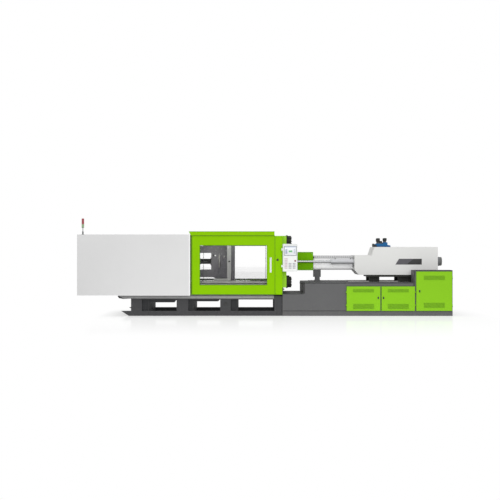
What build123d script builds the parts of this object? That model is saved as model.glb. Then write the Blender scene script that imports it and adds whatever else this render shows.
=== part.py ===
from build123d import *
import math
import os

os.makedirs("parts", exist_ok=True)

# Injection moulding machine, millimetres.
# X runs along the machine towards the injection unit, the operator stands at -Y, the floor is Z = 0.
# The origin is on the floor under the middle of the machine.

# Overall layout along X
MACHINE_LEFT = -5095
MACHINE_RIGHT = 5095
BED_LEFT = -3669
BED_JOINT_X = 463

# Clearances
RUN = 0.05
GAP = 0.3
WELD_GAP = 0.2
SHEET = 3

# Machine axis, tie bars and platens
AXIS_Z = 1475
TIE_OFFSET = 560
TIE_R = 60
TIE_LEFT = -3900
TIE_RIGHT = 690
PLATEN_HALF_WIDTH = TIE_OFFSET + 140
PLATEN_HALF_HEIGHT = TIE_OFFSET + 130
PLATEN_CHAMFER = 90
FIXED_FACE_X = 200
FIXED_THICKNESS = 370
FIXED_REAR_X = FIXED_FACE_X + FIXED_THICKNESS
FOOT_RIGHT = 489
LOCATING_R = 80
LOCATING_DEPTH = 50
NOZZLE_HOLE_R = 45
NOZZLE_WALL = 80
NOZZLE_RECESS_R = 260
MOULD_BOLT_R = 12
MOULD_BOLT_DEPTH = 60
MOULD_BOLT_WIDE = 1.5 * TIE_OFFSET
MOULD_BOLT_NARROW = MOULD_BOLT_WIDE / 2
RETAINER_FLANGE = 40
RETAINER_LENGTH = 98
RETAINER_R = 150

# Moving platen
MOVING_FACE_X = -860
MOVING_PLATE = 193
CASTING_REAR_X = -1500
CASTING_BOTTOM_Z = AXIS_Z - 465
CASTING_TOP_Z = AXIS_Z + 485
EJECTOR_REACH = 350
EJECTOR_BARREL_R = 72
EJECTOR_BORE_R = 45
EJECTOR_ROD_R = 30
EJECTOR_CAP = 40
EJECTOR_PISTON = 40
EJECTOR_PIN_R = 20
EJECTOR_PIN_PITCH = 200

# Double toggle, heights measured from the machine axis
REAR_PIN_HEIGHT = 600
FRONT_PIN_HEIGHT = 335
REAR_LINK = 490
FRONT_LINK = 760
FRONT_PIN_X = -1800
TOGGLE_PIN_R = 45
TOGGLE_EYE_R = 98
KNEE_EYE_R = 90
EAR_RADIUS = 351
EAR_ANGLE = -20
EAR_EYE_R = 60
CROSS_LINK = 285
CROSS_PIN_HEIGHT = 130
CROSS_PIN_R = 32
CROSS_EYE_R = 58

# Layers of the linkage across the machine, inner and outer distance from the centre plane
CROSS_LAYER = (110, 170)
REAR_LAYER = (180, 260)
FRONT_LAYER = (270, 350)
REAR_LUG_LAYERS = ((105, 175), (265, 345))
FRONT_LUG_LAYERS = ((184, 264), (356, 436))

# Rear platen and clamp cylinder
REAR_PLATEN_FACE_X = -3372
REAR_PLATEN_THICKNESS = 290
NUT_R = 124
NUT_LENGTH = 180
CLAMP_BARREL_R = 130
CLAMP_BORE_R = 100
CLAMP_BARREL_END = -4850
CLAMP_ROD_R = 42
GUIDE_BAR_R = 26
GUIDE_BAR_OFFSET = 78
GUIDE_BAR_END = -2590

# Slideways beside the platens, and the clamp bed under them
WAY_INNER = PLATEN_HALF_WIDTH + 15
WAY_WIDTH = 85
WAY_OUTER = WAY_INNER + WAY_WIDTH
WAY_TOP_Z = 955
BED_HALF_WIDTH = WAY_OUTER + 50
BED_TOP_Z = 555
BED_RAIL_Z = 134
BED_FLANGE_Z = 470
BED_DECK = 14
BED_SIDE = 60
BED_WINDOWS = ((-3369, -2426), (-2107, -1237), (-950, 241))
BED_WEB_DROPS = (363, 391, 445)
BED_COLUMNS = ((-3430, -3162), (-2170, -1957), (-1010, -754), (300, 463))

# Housing over the toggle
HOUSING_RIGHT = -2044
HOUSING_BOTTOM_Z = BED_TOP_Z + 9
HOUSING_TOP_Z = AXIS_Z + PLATEN_HALF_HEIGHT + 49
HOUSING_RETURN = 97
TUBE_INNER = WAY_OUTER + 8
TUBE_WIDTH = 40
TUBE_OUTER = TUBE_INNER + TUBE_WIDTH
PORTALS = (-3630, -2170, 100)
PORTAL_WIDTH = 60

# Canopy and doors
CANOPY_TOP_Z = HOUSING_TOP_Z + 86
CANOPY_SKIRT_Z = HOUSING_TOP_Z - 22
CANOPY_LEFT = -2085
CANOPY_SLANT = 55
CANOPY_RIGHT = 240
DOOR_LEFT = -2032
DOOR_RIGHT = 251
DOOR_BOTTOM_Z = BED_TOP_Z + 31
DOOR_TOP_Z = HOUSING_TOP_Z - 24
DOOR_DEPTH = 50
FRONT_WINDOW = ((-1779, 31), (DOOR_BOTTOM_Z + 266, DOOR_TOP_Z - 276))
REAR_WINDOW = ((-1888, 68), (DOOR_BOTTOM_Z + 190, DOOR_TOP_Z - 262))
PANE_THICKNESS = 8
HANDLE_X = 137
HANDLE_BOTTOM_Z = 1188
HANDLE_TOP_Z = 1592
DOOR_RAIL_Z = (DOOR_BOTTOM_Z + 44, DOOR_TOP_Z - 80)
DOOR_RAIL_HEIGHT = 30
DOOR_RAIL_INNER = TUBE_OUTER + 57
DOOR_RAIL_OUTER = DOOR_RAIL_INNER + 35
DOOR_FACE_Y = DOOR_RAIL_OUTER + 60
CANOPY_HALF_WIDTH = DOOR_FACE_Y + 10
MACHINE_HALF_WIDTH = DOOR_FACE_Y + 100
DOOR_RAIL_LEFT = -3720
DOOR_RAIL_RIGHT = 160

# Guards on the fixed platen and the operator panel
GUARD_RIGHT = 453
GUARD_BOTTOM_Z = DOOR_BOTTOM_Z + 2
GUARD_TOP_Z = DOOR_TOP_Z - 11
STEP_RIGHT = FIXED_REAR_X
STEP_BOTTOM_Z = 772
STEP_FACE_Y = PLATEN_HALF_WIDTH + 150
BUTTON_X = 324
BUTTON_Z = 1527
BUTTON_R = 23
PANEL_LEFT = GUARD_RIGHT + 9
PANEL_RIGHT = PANEL_LEFT + 394
PANEL_BOTTOM_Z = 1214
PANEL_TOP_Z = 1960
PANEL_DEPTH = 80
PANEL_PIVOT_X = GUARD_RIGHT - 13
PANEL_PIVOT_Y = -DOOR_FACE_Y - 40
PANEL_PIN_R = 8
PANEL_KNUCKLE_R = 16
PANEL_KNUCKLES = (1330, 1780)
KNUCKLE_HEIGHT = 60
SCREEN = (PANEL_LEFT + 31, PANEL_RIGHT - 21, PANEL_TOP_Z - 321, PANEL_TOP_Z - 52)
PANEL_FACE_INSET = 4
KEY_WIDTH = 78
KEY_HEIGHT = 30
KEY_PITCH = 42
KEY_LOWEST_Z = PANEL_BOTTOM_Z + 76
ESTOP_X = PANEL_RIGHT - 60
ESTOP_Z = PANEL_TOP_Z - 458
ESTOP_R = 20
ESTOP_STEM_R = 9
ESTOP_RECESS = 6

# Injection bed and cabinets
INJECTION_HALF_WIDTH = 900
PLINTH_Z = 135
PLINTH_HALF_WIDTH = INJECTION_HALF_WIDTH - 15
LOW_BOX_TOP_Z = 608
HIGH_BOX_LEFT = 1046
HIGH_BOX_TOP_Z = 908
CABINET_LEFT = 2190
CONTROL_LEFT = 4029
CONTROL_RIGHT = 5089
CONTROL_TOP_Z = 1246
CONTROL_FRONT_Y = -INJECTION_HALF_WIDTH - 4
CONTROL_BACK_Y = CONTROL_FRONT_Y + 404
DOOR_SHEET_FACE_Y = CONTROL_FRONT_Y - 26
DOOR_SHEET_DEPTH = 25
SMALL_DOOR_BOTTOM_Z = 138
SMALL_DOOR_TOP_Z = 806
TALL_DOOR_TOP_Z = 1211
PARTITION_X = (CABINET_LEFT + CONTROL_LEFT) / 2 + 27.5
LEFT_DOOR = (CABINET_LEFT + 12, PARTITION_X - 14)
RIGHT_DOOR = (PARTITION_X + 14, CONTROL_LEFT + 33)
CONTROL_DOOR = (CONTROL_LEFT + 67, CONTROL_RIGHT - 14)
DOOR_STOP = 34
HINGE_R = 8
HINGE_PIN_R = 4
HINGE_LENGTH = 50
HINGE_INSET = 130
HINGE_Y = DOOR_SHEET_FACE_Y + 12
LEFT_LATCH = (LEFT_DOOR[1] - 60, 492)
RIGHT_LATCH = (RIGHT_DOOR[0] + 56, 492)
CONTROL_LATCH = (CONTROL_DOOR[0] + 93, 674)
LATCH_R = 9
CAM_REACH = 51
CAM_Y = DOOR_SHEET_FACE_Y + 38
CONTROL_CAM_Y = DOOR_SHEET_FACE_Y + 32
LOUVRE_WIDTH = 560
LOUVRE_PITCH = 24
LOUVRE_SLOT = 11
CASE_WALL = 4

# Injection unit
RAIL_INNER = 300
RAIL_WIDTH = 60
RAIL_HEIGHT = 30
CARRIAGE_TOP_Z = 1108
BARREL_R = 110
BARREL_BORE_R = 41
BARREL_FRONT = 800
BARREL_REAR = 2960
BAND_R = 126
NOZZLE_R = 30
NOZZLE_TIP_X = 256
SCREW_R = 40
SCREW_SHAFT_R = 34
BLOCK_FRONT = 2540
BLOCK_HALF_WIDTH = 370
BLOCK_TOP_Z = 1640
HOPPER_X = 2750
HOPPER_R = 60
THROAT_DEPTH = 50
FEED_HOLE_R = 34
HOPPER_BOLT_PITCH = 170
HOPPER_BOLT_R = 8
CYLINDER_Y = 300
CARRIAGE_ROD_R = 30
CARRIAGE_BARREL_R = 66
CARRIAGE_BARREL_FRONT = 1833
CARRIAGE_ROD_END = 2430
SHOT_CYLINDER_Y = 280
SHOT_BARREL_R = 75
SHOT_BORE_R = 50
SHOT_ROD_R = 35
SHOT_CYLINDER_END = 3500
DRIVE_PLATE_X = 3700
DRIVE_PLATE = 120
MOTOR_R = 127
MOTOR_START_X = 4100
MOTOR_END_X = 4965
COVER_FRONT = 2470
COVER_RIGHT = 4775
COVER_TOP_Z = 1878
COVER_NOSE_TOP_Z = 1648
COVER_HALF_WIDTH = 480
BARREL_GUARD_FRONT = 1349
BARREL_GUARD_BOTTOM_Z = 1241
BARREL_GUARD_TOP_Z = 1641
BARREL_GUARD_HALF_WIDTH = 200
PURGE_LEFT = 720
PURGE_RIGHT = 1340
PURGE_BOTTOM_Z = 1228
PURGE_TOP_Z = 1739
PURGE_HALF_WIDTH = 230

MIRROR = (-1, 1)


def across(y):
    """Upright plane along the machine at depth y, seen by the operator."""
    return Plane.XZ.offset(-y)


def rect(x, z, mode=Mode.ADD):
    """Rectangle in the current sketch from (low, high) pairs."""
    with Locations(((x[0] + x[1]) / 2, (z[0] + z[1]) / 2)):
        return Rectangle(x[1] - x[0], z[1] - z[0], mode=mode)


def bar(x, y, z, mode=Mode.ADD):
    """Rectangular section y by z run along the machine from x[0] to x[1]."""
    with BuildSketch(Plane.YZ.offset(x[0])) as section:
        rect(y, z)
    return extrude(section.sketch, amount=x[1] - x[0], mode=mode)


def both_sides(low, high):
    """The band low to high from the centre plane, on the operator's side and on the rear side."""
    return ((-high, -low), (low, high))


def round_along(x, y, z, r, mode=Mode.ADD):
    """Round bar or hole along the machine."""
    with BuildSketch(Plane.YZ.offset(x[0])) as section:
        with Locations((y, z)):
            Circle(r)
    return extrude(section.sketch, amount=x[1] - x[0], mode=mode)


def ring_along(x, y, z, r, bore, mode=Mode.ADD):
    """Tube along the machine."""
    with BuildSketch(Plane.YZ.offset(x[0])) as section:
        with Locations((y, z)):
            Circle(r)
            Circle(bore, mode=Mode.SUBTRACT)
    return extrude(section.sketch, amount=x[1] - x[0], mode=mode)


def pin_across(x, z, r, y, mode=Mode.ADD):
    """Round pin or hole across the machine from y[0] to y[1]."""
    with BuildSketch(across(y[0])) as section:
        with Locations((x, z)):
            Circle(r)
    return extrude(section.sketch, amount=-(y[1] - y[0]), mode=mode)


def upright(x, y, r, z, mode=Mode.ADD):
    """Round pin or hole standing from z[0] to z[1]."""
    with BuildSketch(Plane.XY.offset(z[0])) as section:
        with Locations((x, y)):
            Circle(r)
    return extrude(section.sketch, amount=z[1] - z[0], mode=mode)


def tie_bar_places():
    """Centres of the four tie bars as (y, z)."""
    return [
        (side * TIE_OFFSET, AXIS_Z + level * TIE_OFFSET)
        for side in MIRROR
        for level in MIRROR
    ]


def platen_outline(half_width=PLATEN_HALF_WIDTH):
    """Platen seen along the machine, corners cut off."""
    with Locations((0, AXIS_Z)):
        outline = Rectangle(2 * half_width, 2 * PLATEN_HALF_HEIGHT)
    chamfer(outline.vertices(), PLATEN_CHAMFER)


def tie_bar_holes(x, r):
    """Bores for the four tie bars between x[0] and x[1]."""
    for y, z in tie_bar_places():
        round_along(x, y, z, r, mode=Mode.SUBTRACT)


def save(part, name):
    """Label a finished piece and write it."""
    part.label = name
    export_step(part, f"parts/{name}.step")


# Toggle geometry with the clamp locked, each point as (x, height above the axis)
locked_reach = math.sqrt(
    (REAR_LINK + FRONT_LINK) ** 2 - (REAR_PIN_HEIGHT - FRONT_PIN_HEIGHT) ** 2
)
rear_pin_x = FRONT_PIN_X - locked_reach
locked_angle = math.degrees(
    math.atan2(FRONT_PIN_HEIGHT - REAR_PIN_HEIGHT, locked_reach)
)
knee_share = REAR_LINK / (REAR_LINK + FRONT_LINK)
knee_x = rear_pin_x + knee_share * locked_reach
knee_height = REAR_PIN_HEIGHT + knee_share * (FRONT_PIN_HEIGHT - REAR_PIN_HEIGHT)
ear_direction = math.radians(locked_angle + EAR_ANGLE)
ear_x = rear_pin_x + EAR_RADIUS * math.cos(ear_direction)
ear_height = REAR_PIN_HEIGHT + EAR_RADIUS * math.sin(ear_direction)
crosshead_x = ear_x + math.sqrt(CROSS_LINK**2 - (ear_height - CROSS_PIN_HEIGHT) ** 2)


# Clamp bed: a welded frame of two windowed sides, cross columns and a deck

with BuildPart() as clamp_bed:
    for side in MIRROR:
        with BuildSketch(across(side * (BED_HALF_WIDTH - BED_SIDE / 2))):
            with BuildLine():
                Polyline(
                    (BED_LEFT, 0),
                    (BED_JOINT_X, 0),
                    (BED_JOINT_X, BED_TOP_Z - BED_DECK),
                    (BED_LEFT - 366, BED_TOP_Z - BED_DECK),
                    (BED_LEFT - 330, BED_FLANGE_Z + 12),
                    (BED_LEFT - 215, BED_FLANGE_Z - 10),
                    (BED_LEFT, BED_FLANGE_Z),
                    (BED_LEFT, BED_RAIL_Z - 2),
                    (BED_LEFT - 265, BED_RAIL_Z - 2),
                    (BED_LEFT - 235, BED_RAIL_Z - 22),
                    (BED_LEFT - 61, 0),
                    close=True,
                )
            make_face()
            for window in BED_WINDOWS:
                rect(window, (BED_RAIL_Z, BED_FLANGE_Z - 25), mode=Mode.SUBTRACT)
        extrude(amount=BED_SIDE / 2, both=True)
        for window, drop in zip(BED_WINDOWS, BED_WEB_DROPS):
            with BuildSketch(across(side * (BED_HALF_WIDTH - BED_SIDE - 20))):
                with BuildLine():
                    Polyline(
                        (window[0] - 20, BED_TOP_Z - BED_DECK),
                        (window[1] + 20, BED_TOP_Z - BED_DECK),
                        (window[1] + 20, BED_FLANGE_Z),
                        (window[1] - 60, drop),
                        (window[0] + 60, drop),
                        (window[0] - 20, BED_FLANGE_Z),
                        close=True,
                    )
                make_face()
            extrude(amount=20, both=True)
    column_half = BED_HALF_WIDTH - BED_SIDE
    for low, high in BED_COLUMNS:
        bar((low, high), (-column_half, column_half), (0, BED_TOP_Z - BED_DECK))
        bar(
            (low + 20, high - 20),
            (-column_half + 30, column_half - 30),
            (0, BED_TOP_Z - BED_DECK - 20),
            mode=Mode.SUBTRACT,
        )
    bar(
        (BED_LEFT, BED_JOINT_X),
        (-BED_HALF_WIDTH + 8, BED_HALF_WIDTH - 8),
        (BED_TOP_Z - BED_DECK, BED_TOP_Z),
    )
    for window in ((-3140, -2200), (-1930, -1040), (-730, 180)):
        bar(window, (-560, 560), (BED_TOP_Z - BED_DECK, BED_TOP_Z), mode=Mode.SUBTRACT)
    lift_hole_x = (BED_WINDOWS[1][1] + BED_WINDOWS[2][0]) / 2
    for side in MIRROR:
        span = sorted((side * (BED_HALF_WIDTH + 1), side * (BED_HALF_WIDTH - BED_SIDE - 1)))
        pin_across(lift_hole_x, 330, 30, span, mode=Mode.SUBTRACT)
save(clamp_bed.part, "clamp_bed")

# Slideways: guide beams on the clamp bed and rails on the injection bed

with BuildPart() as slide_ways:
    for side in MIRROR:
        with BuildSketch(Plane.YZ.offset(BED_LEFT + 9)):
            inner = side * WAY_INNER
            outer = side * (WAY_INNER + WAY_WIDTH)
            web_in = side * (WAY_INNER + 22)
            web_out = side * (WAY_INNER + WAY_WIDTH - 22)
            with BuildLine():
                Polyline(
                    (inner, BED_TOP_Z),
                    (outer, BED_TOP_Z),
                    (outer, BED_TOP_Z + 30),
                    (web_out, BED_TOP_Z + 40),
                    (web_out, WAY_TOP_Z - 90),
                    (outer, WAY_TOP_Z - 70),
                    (outer, WAY_TOP_Z - 18),
                    (outer - side * 18, WAY_TOP_Z),
                    (inner, WAY_TOP_Z),
                    (inner, WAY_TOP_Z - 70),
                    (web_in, WAY_TOP_Z - 90),
                    (web_in, BED_TOP_Z + 40),
                    (inner, BED_TOP_Z + 30),
                    close=True,
                )
            make_face()
        extrude(amount=FIXED_FACE_X - WELD_GAP - BED_LEFT - 9)
    for y in both_sides(RAIL_INNER, RAIL_INNER + RAIL_WIDTH):
        bar((2300, 4600), y, (HIGH_BOX_TOP_Z, HIGH_BOX_TOP_Z + RAIL_HEIGHT))
save(slide_ways.part, "slide_ways")

# Fixed platen: a ribbed casting on two feet, bored for the tie bars, the mould ring and the nozzle

with BuildPart() as fixed_platen:
    with BuildSketch(Plane.YZ.offset(FIXED_FACE_X)):
        platen_outline()
    extrude(amount=FIXED_THICKNESS)
    for y in both_sides(PLATEN_HALF_WIDTH - 370, PLATEN_HALF_WIDTH - 40):
        platen_base = AXIS_Z - PLATEN_HALF_HEIGHT + 20
        bar((FIXED_FACE_X + 50, BED_JOINT_X - WELD_GAP), y, (BED_TOP_Z, platen_base))
        bar((BED_JOINT_X - WELD_GAP, FOOT_RIGHT), y, (LOW_BOX_TOP_Z + GAP, platen_base))
    with BuildSketch(Plane.YZ.offset(FIXED_REAR_X)):
        with Locations((0, AXIS_Z)):
            for turn in range(4):
                with Locations(Location((0, 0), 90 * turn)):
                    with Locations((0, TIE_OFFSET - 80)):
                        pocket = Trapezoid(TIE_OFFSET, 230, 72)
        fillet(pocket.vertices(), 30)
    extrude(amount=-130, mode=Mode.SUBTRACT)
    tie_bar_holes((FIXED_FACE_X, FIXED_REAR_X), TIE_R)
    ring_face = FIXED_FACE_X + LOCATING_DEPTH
    recess_face = ring_face + NOZZLE_WALL
    round_along((FIXED_FACE_X, ring_face), 0, AXIS_Z, LOCATING_R, mode=Mode.SUBTRACT)
    round_along((ring_face, recess_face), 0, AXIS_Z, NOZZLE_HOLE_R, mode=Mode.SUBTRACT)
    with BuildSketch(Plane.YZ.offset(recess_face)):
        with Locations((0, AXIS_Z)):
            Circle(150)
    with BuildSketch(Plane.YZ.offset(FIXED_REAR_X)):
        with Locations((0, AXIS_Z)):
            Circle(NOZZLE_RECESS_R)
    loft(mode=Mode.SUBTRACT)
    for width, height in ((MOULD_BOLT_WIDE, MOULD_BOLT_WIDE), (MOULD_BOLT_NARROW, MOULD_BOLT_NARROW)):
        with BuildSketch(Plane.YZ.offset(FIXED_FACE_X)):
            with Locations((0, AXIS_Z)):
                with GridLocations(width, height, 2, 2):
                    Circle(MOULD_BOLT_R)
        extrude(amount=MOULD_BOLT_DEPTH, mode=Mode.SUBTRACT)
save(fixed_platen.part, "fixed_platen")

# Tie bars with turned-down thread ends, and their retainers behind the fixed platen

with BuildPart() as tie_bars:
    for y, z in tie_bar_places():
        round_along((TIE_LEFT, TIE_RIGHT), y, z, TIE_R)
    end_edges = tie_bars.edges().filter_by(GeomType.CIRCLE)
    chamfer(end_edges, 8)
save(tie_bars.part, "tie_bars")

with BuildPart() as tie_bar_retainers:
    for y, z in tie_bar_places():
        with BuildSketch(Plane.YZ.offset(FIXED_REAR_X)):
            with Locations((y, z)):
                RectangleRounded(310, 330, 40)
        extrude(amount=RETAINER_FLANGE)
        with BuildSketch(Plane.YZ.offset(FIXED_REAR_X + RETAINER_FLANGE)):
            with Locations((y, z)):
                Circle(RETAINER_R)
                with PolarLocations(RETAINER_R, 12):
                    Rectangle(26, 22, mode=Mode.SUBTRACT)
        extrude(amount=RETAINER_LENGTH)
    tie_bar_holes((FIXED_REAR_X, FIXED_REAR_X + RETAINER_FLANGE + RETAINER_LENGTH), TIE_R)
save(tie_bar_retainers.part, "tie_bar_retainers")

# Moving platen: mould plate, four cheeks that end in the toggle lugs, and a rear wall

moving_rear_x = MOVING_FACE_X - MOVING_PLATE
with BuildPart() as moving_platen:
    with BuildSketch(Plane.YZ.offset(moving_rear_x)):
        platen_outline()
    extrude(amount=MOVING_PLATE)
    for low, high in FRONT_LUG_LAYERS:
        for y_low, y_high in both_sides(low, high):
            with BuildSketch(across(y_low)):
                for level in MIRROR:
                    pin_z = AXIS_Z + level * FRONT_PIN_HEIGHT
                    with Locations((FRONT_PIN_X, pin_z)):
                        Circle(TOGGLE_EYE_R)
                    rect(
                        (FRONT_PIN_X, moving_rear_x),
                        (pin_z - TOGGLE_EYE_R, pin_z + TOGGLE_EYE_R),
                    )
                with BuildLine():
                    Polyline(
                        (CASTING_REAR_X, CASTING_TOP_Z - 60),
                        (CASTING_REAR_X + 60, CASTING_TOP_Z),
                        (moving_rear_x, CASTING_TOP_Z),
                        (moving_rear_x, CASTING_BOTTOM_Z),
                        (moving_rear_x - 330, CASTING_BOTTOM_Z),
                        (CASTING_REAR_X, CASTING_BOTTOM_Z + 60),
                        close=True,
                    )
                make_face()
                for level in MIRROR:
                    with Locations((FRONT_PIN_X, AXIS_Z + level * FRONT_PIN_HEIGHT)):
                        Circle(TOGGLE_PIN_R + RUN, mode=Mode.SUBTRACT)
                with Locations((CASTING_REAR_X + 95, AXIS_Z + 165)):
                    Triangle(c=86, a=104, b=104, mode=Mode.SUBTRACT)
            extrude(amount=-(y_high - y_low))
    outer_cheek = FRONT_LUG_LAYERS[1][1]
    throat_half = FRONT_PIN_HEIGHT - TOGGLE_EYE_R
    bar(
        (CASTING_REAR_X, CASTING_REAR_X + 60),
        (-outer_cheek, outer_cheek),
        (AXIS_Z - throat_half, AXIS_Z + throat_half),
    )
    for level in MIRROR:
        rib = sorted((AXIS_Z + level * 250, AXIS_Z + level * 290))
        bar((CASTING_REAR_X + 40, moving_rear_x), (-outer_cheek, outer_cheek), rib)
    for y in both_sides(PLATEN_HALF_WIDTH - 60, PLATEN_HALF_WIDTH - 20):
        with BuildSketch(across(y[0])):
            with BuildLine():
                Polyline(
                    (moving_rear_x, CASTING_BOTTOM_Z),
                    (moving_rear_x - 330, CASTING_BOTTOM_Z),
                    (moving_rear_x, AXIS_Z + 300),
                    close=True,
                )
            make_face()
        extrude(amount=-(y[1] - y[0]))
    tie_bar_holes((FRONT_PIN_X - TOGGLE_EYE_R, MOVING_FACE_X), TIE_R + RUN)
    round_along(
        (CASTING_REAR_X, CASTING_REAR_X + 60), 0, AXIS_Z, EJECTOR_ROD_R + RUN, mode=Mode.SUBTRACT
    )
    with BuildSketch(Plane.YZ.offset(moving_rear_x)):
        with Locations((0, AXIS_Z)):
            Circle(EJECTOR_PIN_R + RUN)
            with GridLocations(EJECTOR_PIN_PITCH, EJECTOR_PIN_PITCH, 2, 2):
                Circle(EJECTOR_PIN_R + RUN)
    extrude(amount=MOVING_PLATE, mode=Mode.SUBTRACT)
    for pitch in (MOULD_BOLT_WIDE, MOULD_BOLT_NARROW):
        with BuildSketch(Plane.YZ.offset(MOVING_FACE_X)):
            with Locations((0, AXIS_Z)):
                with GridLocations(pitch, pitch, 2, 2):
                    Circle(MOULD_BOLT_R)
        extrude(amount=-MOULD_BOLT_DEPTH, mode=Mode.SUBTRACT)
save(moving_platen.part, "moving_platen")

# Slide shoes and pale side bars bolted to the moving platen

with BuildPart() as platen_guides:
    for side in MIRROR:
        face = side * PLATEN_HALF_WIDTH
        bar(
            (-1420, -950),
            sorted((face, side * (WAY_INNER + WAY_WIDTH - 5))),
            (WAY_TOP_Z + GAP, WAY_TOP_Z + 58),
        )
        with BuildSketch(across(face)):
            rect((-1053, -943), (WAY_TOP_Z + 58 + WELD_GAP, 2060))
            with Locations((-981, 1484)):
                Circle(20, mode=Mode.SUBTRACT)
        extrude(amount=-side * 14)
save(platen_guides.part, "platen_guides")

# Ejector: a hollow cylinder behind the platen, its rod, cross plate and pins

ejector_back_x = CASTING_REAR_X - EJECTOR_REACH
with BuildPart() as ejector_cylinder:
    with BuildSketch(Plane.XZ):
        with BuildLine():
            back = ejector_back_x
            front = CASTING_REAR_X
            rod = AXIS_Z + EJECTOR_ROD_R + RUN
            bore = AXIS_Z + EJECTOR_BORE_R
            wall = AXIS_Z + EJECTOR_BARREL_R
            Polyline(
                (front, rod),
                (front, AXIS_Z + 110),
                (front - 34, AXIS_Z + 110),
                (front - 34, wall),
                (back + EJECTOR_CAP, wall),
                (back + EJECTOR_CAP, wall + 10),
                (back, wall + 10),
                (back, AXIS_Z),
                (back + EJECTOR_CAP, AXIS_Z),
                (back + EJECTOR_CAP, bore),
                (front - 50, bore),
                (front - 50, rod),
                close=True,
            )
        make_face()
    revolve(axis=Axis((0, 0, AXIS_Z), (1, 0, 0)))
save(ejector_cylinder.part, "ejector_cylinder")

with BuildPart() as ejector_plate:
    piston_x = ejector_back_x + EJECTOR_CAP + 5
    round_along((piston_x, -1420), 0, AXIS_Z, EJECTOR_ROD_R)
    round_along((piston_x, piston_x + EJECTOR_PISTON), 0, AXIS_Z, EJECTOR_BORE_R - RUN)
    with BuildSketch(Plane.YZ.offset(-1420)):
        with Locations((0, AXIS_Z)):
            RectangleRounded(300, 300, 40)
    extrude(amount=40)
    round_along((-1380, MOVING_FACE_X - 10), 0, AXIS_Z, EJECTOR_PIN_R)
    with BuildSketch(Plane.YZ.offset(-1380)):
        with Locations((0, AXIS_Z)):
            with GridLocations(EJECTOR_PIN_PITCH, EJECTOR_PIN_PITCH, 2, 2):
                Circle(EJECTOR_PIN_R)
    extrude(amount=MOVING_FACE_X - 10 + 1380)
save(ejector_plate.part, "ejector_plate")

# Rear platen with its toggle lugs, its wings on the slideways and the crosshead's guide bars

rear_back_x = REAR_PLATEN_FACE_X - REAR_PLATEN_THICKNESS
with BuildPart() as rear_platen:
    with BuildSketch(Plane.YZ.offset(rear_back_x)):
        platen_outline()
        for y in both_sides(PLATEN_HALF_WIDTH - 20, WAY_INNER + WAY_WIDTH - 5):
            rect(y, (WAY_TOP_Z + GAP, WAY_TOP_Z + 120))
    extrude(amount=REAR_PLATEN_THICKNESS)
    for low, high in REAR_LUG_LAYERS:
        for y_low, y_high in both_sides(low, high):
            for level in MIRROR:
                pin_z = AXIS_Z + level * REAR_PIN_HEIGHT
                with BuildSketch(across(y_low)):
                    with Locations((rear_pin_x, pin_z)):
                        Circle(KNEE_EYE_R)
                    rect(
                        (REAR_PLATEN_FACE_X + WELD_GAP, REAR_PLATEN_FACE_X + 10),
                        sorted(
                            (
                                AXIS_Z + level * (REAR_PIN_HEIGHT - KNEE_EYE_R),
                                AXIS_Z + level * (PLATEN_HALF_HEIGHT - 5),
                            )
                        ),
                    )
                    make_hull()
                    with Locations((rear_pin_x, pin_z)):
                        Circle(TOGGLE_PIN_R + RUN, mode=Mode.SUBTRACT)
                extrude(amount=-(y_high - y_low))
    tie_bar_holes((rear_back_x, REAR_PLATEN_FACE_X), TIE_R + RUN)
    rear_span = (rear_back_x, REAR_PLATEN_FACE_X)
    round_along(rear_span, 0, AXIS_Z, CLAMP_ROD_R + RUN, mode=Mode.SUBTRACT)
    for side in MIRROR:
        y = side * GUIDE_BAR_OFFSET
        round_along(rear_span, y, AXIS_Z, GUIDE_BAR_R + WELD_GAP, mode=Mode.SUBTRACT)
        round_along((rear_back_x, GUIDE_BAR_END), y, AXIS_Z, GUIDE_BAR_R)
save(rear_platen.part, "rear_platen")

with BuildPart() as adjusting_nuts:
    for y, z in tie_bar_places():
        with BuildSketch(Plane.YZ.offset(rear_back_x - NUT_LENGTH)):
            with Locations((y, z)):
                RegularPolygon(NUT_R, 8)
        extrude(amount=NUT_LENGTH)
        ring_along((rear_back_x - 90, rear_back_x - 50), y, z, NUT_R + 16, NUT_R - 30)
    tie_bar_holes((rear_back_x - NUT_LENGTH, rear_back_x), TIE_R + RUN)
save(adjusting_nuts.part, "adjusting_nuts")

with BuildPart() as clamp_cylinder:
    with BuildSketch(Plane.XZ):
        with BuildLine():
            rod = AXIS_Z + CLAMP_ROD_R + RUN
            bore = AXIS_Z + CLAMP_BORE_R
            wall = AXIS_Z + CLAMP_BARREL_R
            Polyline(
                (rear_back_x, rod),
                (rear_back_x, wall + 60),
                (rear_back_x - 50, wall + 60),
                (rear_back_x - 50, wall),
                (CLAMP_BARREL_END + 60, wall),
                (CLAMP_BARREL_END + 60, wall + 25),
                (CLAMP_BARREL_END, wall + 25),
                (CLAMP_BARREL_END, AXIS_Z),
                (CLAMP_BARREL_END + 60, AXIS_Z),
                (CLAMP_BARREL_END + 60, bore),
                (rear_back_x - 80, bore),
                (rear_back_x - 80, rod),
                close=True,
            )
        make_face()
    revolve(axis=Axis((0, 0, AXIS_Z), (1, 0, 0)))
    round_along(
        (rear_back_x - 130, rear_back_x - 80), 0, AXIS_Z, GUIDE_BAR_OFFSET + 2, mode=Mode.SUBTRACT
    )
save(clamp_cylinder.part, "clamp_cylinder")

# Crosshead with its cross pins and the clamp rod and piston

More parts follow.
